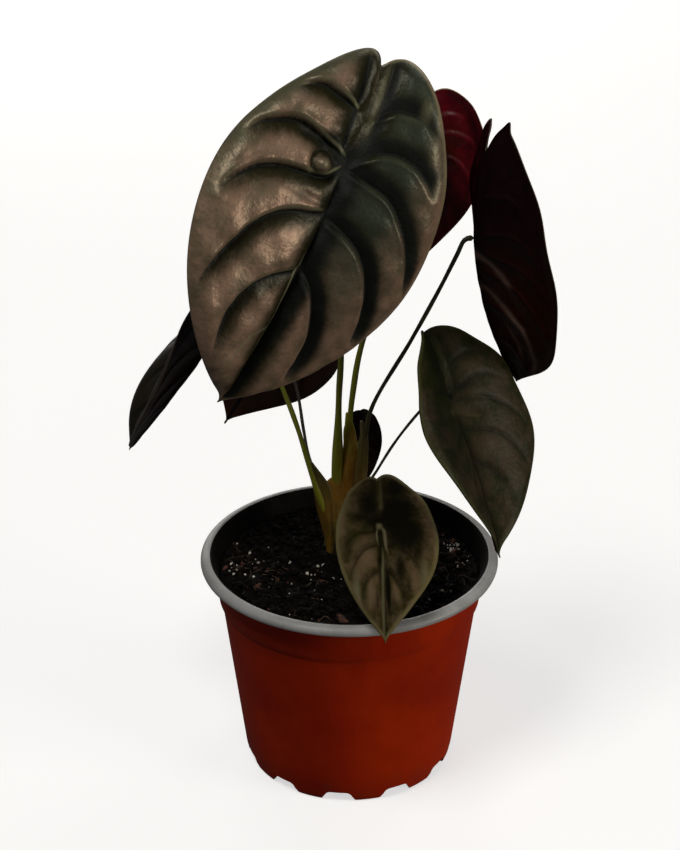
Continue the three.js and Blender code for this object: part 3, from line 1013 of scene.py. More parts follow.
@dataclass
class Peat:
    """The peat filling, with perlite, bark chips, crumbs and fibres on top."""

    level: float = 92.5
    top_radius: float = 56.5
    body: Rows = ((0, 1.7), (6.7, 1.7), (7.7, 7.1), (43.0, 7.1), (45.2, 9.3), (54.5, 79.8))
    # The surface swells by noise: size, layer and rise of each kind.
    swells: Rows = ((17, 3.1, 1.5), (4.6, 8.2, 1.3), (1.9, 1.4, 0.8))
    stem: tuple[float, float, float] = (-3.8, 15.4, 8.0)
    bank_rise: float = 1.2
    bank_reach: float = 20.0
    edge_drop: float = 0.8
    edge_power: int = 8
    wall_room: float = 2.0
    stem_room: float = 1.5
    segments: int = 288
    rings: int = 84
    seed: int = 11
    finish: PeatFinish = PeatFinish("peat")
    fibre: Fibres = Fibres()

    def height(self, x: float, y: float) -> float:
        """Height of the peat's surface.

        Args:
            x: Place across, in millimetres.
            y: Place along, in millimetres.

        Returns:
            The height, in millimetres.
        """
        height = self.level
        for size, layer, rise in self.swells:
            height += rise * noise.noise(Vector((x / size, y / size, layer)))
        height += self.bank_rise * max(0.0, 1 - self.from_stem(x, y) / self.bank_reach)
        return height - self.edge_drop * (math.hypot(x, y) / self.top_radius) ** self.edge_power

    def from_stem(self, x: float, y: float) -> float:
        """Distance from the stem's middle."""
        return math.hypot(x - self.stem[0], y - self.stem[1])

    def filling(self) -> Piece:
        """The peat body with its uneven top."""
        top = [(self.top_radius * share, self.level) for share in np.linspace(1, 0, self.rings)]
        piece = Bench.turned("peat", [*self.body, *top], self.segments)
        points = Bench.points(piece) / MM
        on_top = points[:, 2] > self.level - 0.01
        points[on_top, 2] = [self.height(x, y) for x, y in points[on_top, :2]]
        Bench.shape(piece, points * MM)
        Bench.paint(piece, self.finish.surface())
        Bench.place(piece, Slot.SOIL, "soil")
        return piece

    def spots(self, draw: np.random.Generator, count: int, groups: Rows) -> list[Pair]:
        """Places on the peat, clear of the stem and the pot's wall.

        Args:
            draw: Source of random numbers.
            count: How many are spread evenly.
            groups: Middle x and y, spread and count of each group.

        Returns:
            The places, in millimetres.
        """
        found = []
        for _ in range(count):
            reach = self.top_radius * math.sqrt(draw.random())
            angle = FULL_TURN * draw.random()
            found.append((reach * math.cos(angle), reach * math.sin(angle)))
        for x, y, spread, number in groups:
            for _ in range(int(number)):
                found.append((x + spread * draw.normal(), y + spread * draw.normal()))
        return [
            (x, y) for x, y in found if math.hypot(x, y) < self.top_radius - self.wall_room
            and self.from_stem(x, y) > self.stem[2] + self.stem_room
        ]

    def pebble(self, subdivisions: int) -> tuple[Points, Points]:
        """A round lump of radius 1 to copy.

        Args:
            subdivisions: How fine it is.

        Returns:
            Its points and its faces.
        """
        Bench.clear()
        bpy.ops.mesh.primitive_ico_sphere_add(subdivisions=subdivisions, radius=1)
        lump = bpy.context.object
        points = Bench.points(lump)
        faces = np.array([tuple(face.vertices) for face in lump.data.polygons])
        bpy.data.objects.remove(lump)
        return points, faces

    def scatter(self, litter: Litter, draw: np.random.Generator) -> Piece:
        """Lumps of one kind on the peat, as one piece.

        Args:
            litter: What they are.
            draw: Source of random numbers.

        Returns:
            The piece.
        """
        least, most = litter.radii
        places = self.spots(draw, litter.count, litter.groups)
        points, faces = self.pebble(litter.subdivisions)
        parts = []
        for x, y in places:
            size = least + (most - least) * draw.random() ** 2
            wide, thick = draw.uniform(*litter.flatness), draw.uniform(*litter.flatness)
            lump = points * (1 + litter.rough * draw.uniform(-1, 1, (len(points), 1)))
            lump = lump * (1, wide, thick) * size
            turn, lean = FULL_TURN * draw.random(), draw.uniform(-0.6, 0.6)
            c, s, cl, sl = math.cos(turn), math.sin(turn), math.cos(lean), math.sin(lean)
            tipped = np.array([[cl, 0, sl], [0, 1, 0], [-sl, 0, cl]])
            lump = lump @ tipped @ np.array([[c, s, 0], [-s, c, 0], [0, 0, 1]])
            up = self.height(x, y) + size * thick * (1 - 2 * litter.sink)
            parts.append(((lump + (x, y, up)) * MM, faces))
        piece = Bench.join(litter.name, parts)
        Bench.paint(piece, litter.finish.surface())
        Bench.place(piece, Slot.SOIL)
        return piece

    def strand(self, x: float, y: float, draw: np.random.Generator) -> Points:
        """One fibre.

        Args:
            x: Its middle across, in millimetres.
            y: Its middle along, in millimetres.
            draw: Source of random numbers.

        Returns:
            Its points in millimetres, ring by ring.
        """
        kind = self.fibre
        share = np.linspace(0, 1, kind.stations)
        length, turn, bow = (
            draw.uniform(*kind.length), draw.uniform(0, FULL_TURN), draw.uniform(*kind.bow))
        radius = draw.uniform(*kind.radius)
        hump = 1 - (2 * share - 1) ** 2
        along, across = (share - 0.5) * length, bow * hump
        px = x + along * math.cos(turn) - across * math.sin(turn)
        py = y + along * math.sin(turn) + across * math.cos(turn)
        tuck = np.minimum(1, (self.top_radius - 1) / np.maximum(np.hypot(px, py), 1e-6))
        px, py = px * tuck, py * tuck
        arch = draw.uniform(*kind.arch) * hump
        pz = np.array([self.height(a, b) for a, b in zip(px, py)]) + arch + kind.clearance
        middle = np.stack([px, py, pz], 1)
        aim = unit(np.gradient(middle, axis=0))
        side = unit(np.cross(aim, (0, 0, 1)))
        rise = np.cross(side, aim)
        thin = radius * np.sqrt(np.clip(1 - (2 * share - 1) ** 6, 0.02, 1))
        angle = (np.arange(kind.sides) * FULL_TURN / kind.sides)[None, :, None]
        ring = np.cos(angle) * side[:, None] + np.sin(angle) * rise[:, None]
        return (middle[:, None] + thin[:, None, None] * ring).reshape(-1, 3)

    def fibres(self, draw: np.random.Generator) -> Piece:
        """The thin curved fibres, as one piece."""
        sides = self.fibre.sides
        faces = np.array([
            (a + b, a + (b + 1) % sides, a + sides + (b + 1) % sides, a + sides + b)
            for a in range(0, sides * (self.fibre.stations - 1), sides) for b in range(sides)
        ])
        places = self.spots(draw, self.fibre.count, self.fibre.groups)
        parts = [(self.strand(x, y, draw) * MM, faces) for x, y in places]
        piece = Bench.join("peat_fibres", parts)
        with Bench.editing(piece):
            bpy.ops.mesh.fill_holes(sides=sides)
            bpy.ops.mesh.normals_make_consistent(inside=False)
        Bench.paint(piece, self.fibre.finish.surface())
        Bench.place(piece, Slot.SOIL)
        return piece

    def build(self) -> list[Piece]:
        """Makes the filling and all that lies on it.

        Returns:
            The pieces.
        """
        draw = np.random.default_rng(self.seed)
        lumps = [self.filling(), *(self.scatter(litter, draw) for litter in LITTER)]
        return [*lumps, self.fibres(draw)]


# --- Leaves ---

# The veins of a blade: for each one its stations in the half at lower y, and in the other half.
# Along is a share of the tip's length, or of the lobes' length where it is below 0, and across is
# a share of the half's width.
VEINS: dict[str, tuple[Rows, Rows]] = {
    "midrib": (((0, 0), (1, 0)), ((0, 0), (1, 0))),
    "basal": (
        ((0, 0), (-0.05, 0.07), (-0.2, 0.085), (-0.38, 0.085), (-0.6, 0.095), (-0.78, 0.11)),
        ((0, 0), (-0.08, 0.08), (-0.2, 0.1), (-0.4, 0.1), (-0.6, 0.1), (-0.8, 0.09))),
    "lobe": (
        ((-0.36, 0.1), (-0.37, 0.14), (-0.39, 0.25), (-0.42, 0.37), (-0.38, 0.5), (-0.3, 0.6)),
        ((-0.38, 0.1), (-0.45, 0.2), (-0.475, 0.34), (-0.46, 0.49), (-0.38, 0.61))),
    "upper": (
        (
            (0, 0.02), (-0.045, 0.1), (-0.065, 0.22), (-0.095, 0.34), (-0.11, 0.46), (-0.085, 0.58),
            (-0.035, 0.68), (0.02, 0.79), (0.06, 0.88)),
        (
            (0, 0.02), (-0.04, 0.05), (-0.145, 0.2), (-0.18, 0.34), (-0.167, 0.51), (-0.095, 0.66),
            (0, 0.76))),
    "seat": (
        (
            (0.03, 0), (0.08, 0.1), (0.095, 0.2), (0.1, 0.32), (0.107, 0.45), (0.125, 0.58),
            (0.16, 0.71), (0.215, 0.82), (0.28, 0.93)),
        (
            (0.02, 0.03), (0.037, 0.22), (0.048, 0.37), (0.08, 0.49), (0.125, 0.6), (0.19, 0.73),
            (0.28, 0.84), (0.375, 0.93))),
    "middle": (
        (
            (0.2, 0), (0.215, 0.12), (0.23, 0.25), (0.26, 0.39), (0.305, 0.5), (0.355, 0.58),
            (0.41, 0.64), (0.475, 0.71), (0.54, 0.76), (0.6, 0.79)),
        (
            (0.21, 0), (0.24, 0.22), (0.273, 0.37), (0.333, 0.5), (0.4, 0.585), (0.475, 0.66),
            (0.56, 0.71), (0.63, 0.71))),
    "tip": (
        (
            (0.42, 0), (0.445, 0.12), (0.475, 0.24), (0.52, 0.35), (0.575, 0.42), (0.64, 0.455),
            (0.715, 0.455), (0.79, 0.43)),
        (
            (0.41, 0), (0.46, 0.13), (0.507, 0.21), (0.562, 0.27), (0.628, 0.33), (0.704, 0.36),
            (0.78, 0.354), (0.846, 0.33))),
    "last": (
        ((0.66, 0), (0.7, 0.15), (0.78, 0.22), (0.86, 0.24), (0.92, 0.2)),
        ((0.66, 0), (0.7, 0.12), (0.78, 0.18), (0.86, 0.2), (0.92, 0.17))),
}

# Points per station of a vein's line, and how often the line is smoothed.
VEIN_STEPS = 12
VEIN_ROUNDING = 14
# A blade's widths in millimetres hold for this half width, and shrink with the blade.
LARGEST_HALF_WIDTH = 49.6
# How wide the valley of the midrib is, as a share of another vein's.
MAIN_VEIN_SHARE = 0.6
# Distance from the vein, and width, of a panel's crest and of the painted highlight on its steep
# side.
CREST_PLACE, CREST_WIDTH = 2.4, 1.3
RIDGE_PLACE, RIDGE_WIDTH = 1.7, 0.7
# Height over the foot where the stalks come out of the peat, in millimetres.
SOIL_LINE = 92


@dataclass(frozen=True)
class Relief:
    """How deeply a blade is quilted.

    Beside a vein the panel rises steeply on the base side and slowly on the tip side. Where the
    relief is mirrored, the half at higher y does the opposite. A vein keeps its depth for longer
    where run is higher. Dents are rows of along, across, size along, size across and depth.
    """

    height: float = 2.2
    base_width: float = 1.8
    tip_width: float = 6.0
    crest: float = 0.5
    flat_margin: float = 7.0
    ripple: float = 0.7
    waves: int = 7
    last: float = 0.6
    run: float = 2.5
    mirrored: bool = False
    dents: Rows = ()


@dataclass(frozen=True)
class Marking:
    """Where the dark bands and pale lines lie. Each pair is the half at lower y and the other.

    Patches are dark, partly the leaf's own dark zones and partly painted shade. Glows are the
    copper-pink tone or the warm underside, and on some leaves painted highlights. Streaks are pale,
    mostly painted highlights. Each is a row of along, across, size along, size across and strength.
    A stroke is a soft pale line, mostly a painted highlight: its width, its strength and its
    points.
    The bands are partly the veins' own dark colour and partly painted shade; the crease marks are
    painted shade, and a painted highlight line runs on each crest. The cool tone is partly the
    leaf's own and partly painted shade and reflection.
    """

    band_base: Pair = (1.6, 1.6)
    band_tip: Pair = (2.4, 2.4)
    band_depth: Pair = (0.9, 0.9)
    rib_shade: Pair = (3.0, 3.0)
    star: float = 7.0
    ridge_highlight: Pair = (0.8, 0.4)
    cool: Pair = (0.15, 0.5)
    margin: float = 1.6
    edge: Pair = (1.0, 1.0)
    crease: Pair = (0.0, 0.0)
    crease_reach: float = 7.0
    outer: Pair = (0.0, 0.0)
    rib_line: float = 0.0
    patches: Rows = ()
    glows: Rows = ()
    streaks: Rows = ()
    strokes: tuple[tuple[float, float, Rows], ...] = ()

    def pale(self, blank: "Blank") -> Points:
        """Strength of the pale streaks and strokes, mostly painted highlights, 0 to 1."""
        total = blank.blots(self.streaks)
        for width, strength, line in self.strokes:
            steps = np.linspace(0, len(line) - 1, VEIN_STEPS * len(line))
            x, y = resample(np.array(line), steps).T
            fade = np.sin(np.linspace(0.12, 0.9, len(steps)) * math.pi)
            rows = zip(x, y, 0 * x + width, 0 * x + 1.5 * width, strength * fade)
            total = np.maximum(total, blank.blots(tuple(rows)))
        return total


@dataclass(frozen=True)
class Vein:
    """How one vein lies to each vertex of a blade.

    The side is 1 towards the tip and -1 towards the base. Toward is the same, turned over where
    the relief is mirrored, and 0 for a main vein, where both sides are alike.
    """

    name: str
    main: bool
    distance: Points
    share: Points
    side: Points
    toward: Points
    strength: Points

    @property
    def on_base(self) -> Points:
        """How far each vertex is on the steep side, 0 to 1."""
        return np.clip(-self.toward, 0, 1)


@dataclass(frozen=True)
class Blank:
    """The flat blade before it is bent, and what is measured on it for each vertex.

    Along is a share of the tip's length, or of the lobes' where it is below 0, and across is a
    share of the half width, below 0 in the half at lower y. Reach is the share of the way from
    the seat to the margin. Fade is 0 at the margin and 1 where the quilting has its full height.
    """

    flat: Points
    reach: Points
    from_edge: Points
    along: Points
    across: Points
    fade: Points
    scale: float
    veins: tuple[Vein, ...]

    @property
    def root(self) -> float:
        """How much a vein's widths shrink with the blade."""
        return self.scale ** 0.5

    def half(self, pair: Pair) -> Points:
        """The pair's value for the half that each vertex is in."""
        return np.where(self.flat[:, 1] > 0, pair[1], pair[0])

    def inside(self, width: float) -> Points:
        """0 at the margin and 1 from this far in, for the largest blade, in millimetres."""
        return smooth(0.5, width * self.scale, self.from_edge)

    def blots(self, rows: Rows) -> Points:
        """Strength of soft oval blots.

        Args:
            rows: Along, across, size along, size across and strength of each.

        Returns:
            The strength at each vertex. Where blots meet, the strongest counts.
        """
        total = np.zeros(len(self.along))
        for x, y, size_x, size_y, strength in rows:
            spot = strength * bell(self.along - x, size_x) * bell(self.across - y, size_y)
            total = np.maximum(total, spot)
        return total


@dataclass(frozen=True)
class Leaf:
    """One leaf: a peltate blade and its petiole. Angles are degrees, lengths run from the seat."""

    name: str
    seat: tuple[float, float, float]
    heading: float
    droop: float
    roll: float
    twist: float
    tip_length: float
    lobe_length: float
    half_width: float
    tip_power: float
    lobe_power: float
    notch_depth: float
    notch_width: float
    point: float
    tip_bend: float
    lobe_bend: float
    fold: float
    curl: float
    sway: float
    petiole_radius: float
    route: Rows
    finish: BladeFinish
    stalk: StalkFinish
    relief: Relief = Relief()
    marking: Marking = Marking()
    lean: float = 0.0
    taper: float = 0.0
    thickness: float = 0.8
    rib_thickness: float = 1.5
    base_swell: float = 0.9
    pitch: float = 1.0
    horn: Pair = (0.0, 0.0)
    lump: tuple[float, ...] = ()
    swell_from: float = 128.0
    swell_length: float = 45.0
    stalk_sides: int = 20
    stalk_rows: int = 120

    def axes(self) -> Points:
        """The blade's own axes as rows: towards the tip, sideways, and out of the upper face."""
        h, d, r = (math.radians(angle) for angle in (self.heading, self.droop, self.roll))
        tip = np.array([math.cos(d) * math.cos(h), math.cos(d) * math.sin(h), -math.sin(d)])
        level = np.array([-math.sin(h), math.cos(h), 0])
        up = np.cross(tip, level)
        side = level * math.cos(r) + up * math.sin(r)
        return np.stack([tip, side, up * math.cos(r) - level * math.sin(r)])

    def outline(self, angle: Points) -> Points:
        """The flat blade's margin.

        Args:
            angle: 0 at the tip and plus or minus pi at the notch.

        Returns:
            Along and across, one row each.
        """
        share = (1 - np.cos(angle)) / 2
        taper = np.where(angle < 0, self.taper, 0.0)
        a, b = self.lobe_power + taper, self.tip_power + taper
        peak = (a / (a + b)) ** a * (b / (a + b)) ** b
        width = self.half_width / peak * np.clip(1 - share, 0, 1) ** a * share ** b
        from_notch = math.pi - np.abs(angle)
        notch = 1 - self.notch_depth * bell(from_notch, self.notch_width)
        notch = notch * (1 + np.where(angle < 0, *self.horn) * bell(from_notch - 0.3, 0.05))
        point = 1 + self.point * np.clip(1 - np.abs(angle) / 0.35, 0, 1) ** 2
        along = (self.tip_length - (self.tip_length + self.lobe_length) * share) * notch * point
        across = np.sign(angle) * width * notch * (1 + self.lean * np.sign(angle))
        return np.stack([along, across], 1)

    def bend(self, flat: Points, height: Points) -> Points:
        """Bends the flat blade to its grown shape and puts it in place.

        Args:
            flat: Along and across, one row each.
            height: Height over the flat blade.

        Returns:
            The places, in millimetres.
        """
        def arc(start: float, turn: Points, length: Points) -> tuple[Points, Points]:
            """How far along and down an arc goes that sets off at an angle and keeps turning."""
            turn = np.where(np.abs(turn) < 1e-9, 1e-9, turn)
            end = start + turn * length
            return (np.sin(end) - math.sin(start)) / turn, (math.cos(start) - np.cos(end)) / turn

        x, y = flat[:, 0], flat[:, 1]
        curl = np.full(len(x), math.radians(self.curl) / self.half_width)
        out, down = arc(math.radians(self.fold), curl, np.abs(y))
        side, rise = np.sign(y) * out, height - down
        twist = math.radians(self.twist) * x / self.tip_length
        side, rise = (side * np.cos(twist) - rise * np.sin(twist),
                      side * np.sin(twist) + rise * np.cos(twist))
        tip_turn = math.radians(self.tip_bend) / self.tip_length
        lobe_turn = math.radians(self.lobe_bend) / self.lobe_length
        turn = np.where(x > 0, tip_turn, lobe_turn)
        along, sunk = arc(0.0, turn, x)
        share = np.clip(x / self.tip_length, 0, 1)
        grown = np.stack([
            along + rise * np.sin(turn * x),
            side + 4 * self.sway * share * (1 - share),
            rise * np.cos(turn * x) - sunk,
        ], 1)
        return np.array(self.seat) + grown @ self.axes()

    def vein_lines(self, half: int) -> dict[str, Points]:
        """The veins of one half in millimetres, as smooth lines.

        Args:
            half: -1 or 1.

        Returns:
            For each vein its points, along and across.
        """
        lines = {}
        width = self.half_width * (1 + half * self.lean)
        for name, stations in VEINS.items():
            rough = np.array(stations[half > 0], float)
            last = len(rough) - 1
            line = resample(rough, np.linspace(0, last, VEIN_STEPS * last + 1))
            relax(line, VEIN_ROUNDING)
            line[:, 0] *= np.where(line[:, 0] > 0, self.tip_length, self.lobe_length)
            line[:, 1] *= half * width
            lines[name] = line
        return lines

    def vein_field(self, flat: Points) -> dict[str, tuple[Points, Points, Points]]:
        """Where each vertex lies from each vein.

        Args:
            flat: Along and across, one row each.

        Returns:
            For each vein: the distance, the share along the vein where it is nearest, and the
            side, which is 1 towards the tip, -1 towards the base and 0 beyond the vein's ends.
        """
        found = {name: tuple(np.zeros(len(flat)) for _ in range(3)) for name in VEINS}
        for half in (-1, 1):
            mine = flat[:, 1] * half >= 0
            for name, line in self.vein_lines(half).items():
                start, step = line[:-1], np.diff(line, axis=0)
                length = np.maximum((step ** 2).sum(1), 1e-12)
                to = flat[mine][:, None] - start[None]
                share = np.clip((to * step[None]).sum(2) / length, 0, 1)
                gap = to - share[:, :, None] * step[None]
                gaps = np.hypot(gap[:, :, 0], gap[:, :, 1])
                nearest = gaps.argmin(1)
                at = (np.arange(len(nearest)), nearest)
                cross = step[nearest, 0] * to[*at, 1] - step[nearest, 1] * to[*at, 0]
                distance, along, side = found[name]
                distance[mine] = gaps[at]
                along[mine] = (nearest + share[at]) / len(step)
                pace = np.sqrt(length[nearest]) * np.maximum(gaps[at], 1e-9)
                side[mine] = np.clip(-cross * half / pace, -1, 1)
        return found

    def measure(self, flat: Points, reach: Points) -> Blank:
        """Measures the flat blade.

        Args:
            flat: Along and across of each vertex, in millimetres.
            reach: Share of the way from the seat to the margin.

        Returns:
            The blank.
        """
        relief, scale = self.relief, self.half_width / LARGEST_HALF_WIDTH
        turned = 1 - 2 * relief.mirrored * smooth(-5, 5, flat[:, 1])
        veins = []
        for name, (distance, share, side) in self.vein_field(flat).items():
            main = name in ("midrib", "basal")
            strength = relief.last if name == "last" else 1.0
            strength = strength * (1 - (0.3 if main else 1.0) * share ** relief.run)
            toward = 0.0 * side if main else side * turned
            veins.append(Vein(name, main, distance, share, side, toward, strength))
        size = np.hypot(flat[:, 0], flat[:, 1])
        from_edge = np.where(reach > 1e-3, size / np.maximum(reach, 1e-3), 40.0) * (1 - reach)
        full_from = relief.flat_margin * scale
        return Blank(
            flat=flat, reach=reach, from_edge=from_edge,
            along=flat[:, 0] / np.where(flat[:, 0] > 0, self.tip_length, self.lobe_length),
            across=flat[:, 1] / self.half_width,
            fade=1 - (1 - np.clip(from_edge / full_from, 0, 1)) ** 2,
            scale=scale, veins=tuple(veins),
        )

    def quilting(self, blank: Blank) -> Points:
        """Height of the panels over the flat blade, with the ripple of the margin.

        Args:
            blank: The flat blade.

        Returns:
            The height of each vertex, in millimetres.
        """
        relief, flat, root, fade = self.relief, blank.flat, blank.root, blank.fade
        middle, half_gap = ((relief.tip_width + sign * relief.base_width) / 2 for sign in (1, -1))
        height, crest = np.ones(len(flat)), np.zeros(len(flat))
        for vein in blank.veins:
            width = (MAIN_VEIN_SHARE if vein.main else 1.0) * (middle + vein.toward * half_gap)
            height *= 1 - vein.strength * np.exp(-vein.distance / (width * root))
            line = bell(vein.distance - CREST_PLACE * root, CREST_WIDTH * root)
            crest += vein.on_base * vein.strength * line
        angle = np.arctan2(flat[:, 1], flat[:, 0])
        ripple = relief.ripple * np.sin(angle * relief.waves + self.heading) * blank.reach ** 6
        lumps = bumps(np.column_stack([flat / 7, np.full(len(flat), self.heading)]))
        raised = height * (1 + 0.15 * lumps) + relief.crest / relief.height * crest
        lift = relief.height * raised * fade + ripple + 0.3 * lumps * fade
        return lift + self.blister(flat) - blank.blots(relief.dents)

    def blister(self, flat: Points) -> Points:
        """Height of the small round lump beside the seat, in millimetres."""
        if not self.lump:
            return np.zeros(len(flat))
        x, y, radius, rise = self.lump
        gap = np.hypot(flat[:, 0] - x, flat[:, 1] - y)
        return rise * (bell(gap, 0.6 * radius) - 0.8 * bell(gap - radius, 0.35 * radius))

    def marks(self, blank: Blank) -> dict[str, Points]:
        """What the finish reads per vertex.

        Args:
            blank: The flat blade.

        Returns:
            For each mark its strength at each vertex, 0 to 1.
        """
        mark, flat, root, along = self.marking, blank.flat, blank.root, blank.along
        upper_half = flat[:, 1] > 0
        across = np.abs(blank.across)
        depth, base, tip, glint, crease = (blank.half(pair) for pair in (
            mark.band_depth, mark.band_base, mark.band_tip, mark.ridge_highlight, mark.crease))
        band, ridge_highlight, rib, crease_shade = (np.zeros(len(flat)) for _ in range(4))
        for vein in blank.veins:
            gap, near, on_base = vein.distance, vein.strength ** 0.5, vein.on_base
            # The dark band beside each vein is partly its own colour and partly painted shade, so
            # its widths differ between the halves.
            width = (base + tip) / 2 + (0.0 if vein.main else vein.side) * (tip - base) / 2
            dark = 1 - smooth(0.3, 1.15, gap / np.maximum(width, 0.3))
            band = np.maximum(band, depth * near * dark)
            # Painted highlight lines: one beside the midrib, and one on the steep side of each
            # crest.
            if vein.name == "midrib":
                line = mark.rib_line * smooth(0.3, 0.42, vein.share) * ~upper_half
                ridge_highlight = np.maximum(ridge_highlight, line * bell(gap - 1.6, 0.6))
            if not vein.main:
                line = bell(gap - RIDGE_PLACE * root, RIDGE_WIDTH * root)
                ridge_highlight = np.maximum(ridge_highlight, glint * (1 - vein.share ** 2) * line * on_base)
            rib = np.maximum(rib, vein.strength * bell(gap, 1.0))
            # Painted shade beside each crease, strongest on the tip side.
            line = crease * near * (0.35 * on_base + (1 - on_base))
            crease_shade = np.maximum(crease_shade, line * smooth(mark.crease_reach * root, 0.3, gap))
        # Darker along the midrib, which is painted shade, at the seat, and in the patches, which
        # are partly the leaf's own dark zones and partly painted shade.
        middle = bell(flat[:, 1], blank.half(mark.rib_shade) * smooth(1.3, 0.3, along))
        middle = middle * smooth(-6, 6, flat[:, 0]) * smooth(1.0, 0.6, along)
        star = bell(np.hypot(flat[:, 0], flat[:, 1]), mark.star)
        for dark in (blank.blots(mark.patches), star, depth * middle):
            band = np.maximum(band, dark)
        web = bell(flat[:, 1] - 0.06 * self.half_width, 0.05 * self.half_width)
        web = web * smooth(-3, -0.3 * self.lobe_length, flat[:, 0])
        # Pale streaks and strokes, mostly painted highlights.
        pale = mark.pale(blank)
        lines = np.maximum(0.38 * web, pale)
        if self.lump:
            x, y, radius, _ = self.lump
            gap = np.hypot(flat[:, 0] - x, flat[:, 1] - y)
            # Painted shade in the ring round the lump.
            crease_shade = np.maximum(crease_shade, bell(gap - radius, 0.3 * radius))
        # A cooler tone near the base, partly the leaf's own and partly painted shade and
        # reflection.
        cool = blank.half(mark.cool) * smooth(0.9, -0.1, along) * smooth(0.95, 0.3, across)
        outer = blank.half(mark.outer) * smooth(0.74, 0.97, blank.reach) * smooth(0.5, 0, along)
        # The band starts half a millimetre in from the margin, where the width is 6.
        to_band = smooth(0.5, 6 * blank.scale + 0.5, blank.from_edge)
        return {
            "band": np.clip(band, 0, 1) * to_band * (1 - 0.75 * web) * (1 - pale),
            "ridge_highlight": np.clip(np.maximum(ridge_highlight, lines), 0, 1) * blank.inside(6),
            "cool": np.minimum(1, cool),
            "crease_shade": np.clip(crease_shade, 0, 1) * blank.inside(5),
            "edge": bell(blank.from_edge, mark.margin) * blank.half(mark.edge),
            "outer": outer,
            "gleam": pale,
            # Copper-pink tone and warm underside, and on some leaves painted highlights.
            "blush_and_highlight": blank.blots(mark.glows),
            "rib": rib,
        }

    def blade(self) -> Piece:
        """Makes the blade: a grid rounded into the leaf, quilted, bent, and given its thickness."""
        fine = self.outline(np.linspace(-math.pi, math.pi, 721))
        perimeter = np.linalg.norm(np.diff(fine, axis=0), axis=1).sum()
        rays = 2 * round(perimeter / self.pitch / 2)
        rings = round(max(self.tip_length, self.half_width) / self.pitch)
        piece, across, reach = Bench.sheet(f"leaf_{self.name}", rays, rings)
        flat = self.outline((across * 2 - 1) * math.pi) * reach[:, None]
        Bench.shape(piece, np.column_stack([flat, np.zeros(len(flat))]) * MM)
        Bench.store(piece, "reach", reach)
        Bench.weld(piece)
        if np.mean([face.normal.z for face in piece.data.polygons]) < 0:
            Bench.flip(piece)
        flat = Bench.points(piece)[:, :2] / MM
        reach = np.zeros(len(flat), np.float32)
        piece.data.attributes["reach"].data.foreach_get("value", reach)
        blank = self.measure(flat, reach)
        Bench.shape(piece, self.bend(flat, self.quilting(blank)) * MM)
        marks = self.marks(blank)
        for name, values in marks.items():
            Bench.store(piece, name, values)
        self.keep_flat(piece, flat)
        self.thicken(piece, blank, marks["rib"])
        return piece

    def keep_flat(self, piece: Piece, flat: Points) -> None:
        """Keeps the flat places as the piece's UV map, so that the finish follows the blade."""
        layer = piece.data.uv_layers.get("UVMap") or piece.data.uv_layers.new(name="flat")
        layer.name = "flat"
        loops = np.zeros(len(piece.data.loops), np.int32)
        piece.data.loops.foreach_get("vertex_index", loops)
        places = np.ascontiguousarray(flat[loops] / 100 + 0.5, dtype=np.float32)
        layer.uv.foreach_set("vector", places.ravel())

    def thicken(self, piece: Piece, blank: Blank, rib: Points) -> None:
        """Gives the blade its finish and its thickness, with the ribs standing out underneath.

        Args:
            piece: The bent blade.
            blank: The flat blade.
            rib: How much each vertex lies on a rib, 0 to 1.
        """
        full = self.rib_thickness
        thick = (self.thickness + (full - self.thickness) * rib * blank.fade) / full
        thick = np.minimum(thick, 0.3 + smooth(0, 3.5, blank.from_edge))
        group = piece.vertex_groups.new(name="thickness")
        for i, value in enumerate(thick):
            group.add([i], float(value), "REPLACE")
        Bench.paint(piece, self.finish.upper(), self.finish.lower())
        wall = piece.modifiers.new("thickness", "SOLIDIFY")
        wall.thickness, wall.offset = full * MM, -1
        wall.vertex_group, wall.thickness_vertex_group = "thickness", 0.1
        wall.material_offset, wall.material_offset_rim = 1, 0
        Bench.apply(piece)
        piece.vertex_groups.clear()
        Bench.place(piece, Slot.BLADE, f"blade_{self.name}")

    def path(self, count: int) -> Points:
        """The petiole's middle line, a smooth curve from the crown to the blade.

        Args:
            count: How many points.

        Returns:
            The points, in millimetres, evenly spaced.
        """
        def mix(t: float, t0: float, t1: float, p0: Points, p1: Points) -> Points:
            """The place at t on the line that is at p0 at t0 and at p1 at t1."""
            return (t1 - t) / (t1 - t0) * p0 + (t - t0) / (t1 - t0) * p1

        face = self.axes()[2]
        end = np.array(self.seat) - face * 0.7
        stations = [np.array(point, float) for point in self.route]
        stations += [end - face * 4.2, end]
        ends = [2 * stations[0] - stations[1], *stations, 2 * stations[-1] - stations[-2]]
        line = []
        for p0, p1, p2, p3 in zip(ends, ends[1:], ends[2:], ends[3:]):
            t1 = max(np.linalg.norm(p1 - p0), 1e-6) ** 0.5
            t2 = t1 + max(np.linalg.norm(p2 - p1), 1e-6) ** 0.5
            t3 = t2 + max(np.linalg.norm(p3 - p2), 1e-6) ** 0.5
            for t in np.linspace(t1, t2, 24, endpoint=False):
                middle = mix(t, t1, t2, p1, p2)
                low = mix(t, 0.0, t2, mix(t, 0.0, t1, p0, p1), middle)
                high = mix(t, t1, t3, middle, mix(t, t2, t3, p2, p3))
                line.append(mix(t, t1, t2, low, high))
        line = np.array([*line, end])
        steps = np.linalg.norm(np.diff(line, axis=0), axis=1)
        walked = np.concatenate([[0], np.cumsum(steps)])
        at = np.linspace(0, walked[-1], count)
        return np.stack([np.interp(at, walked, column) for column in line.T], 1)

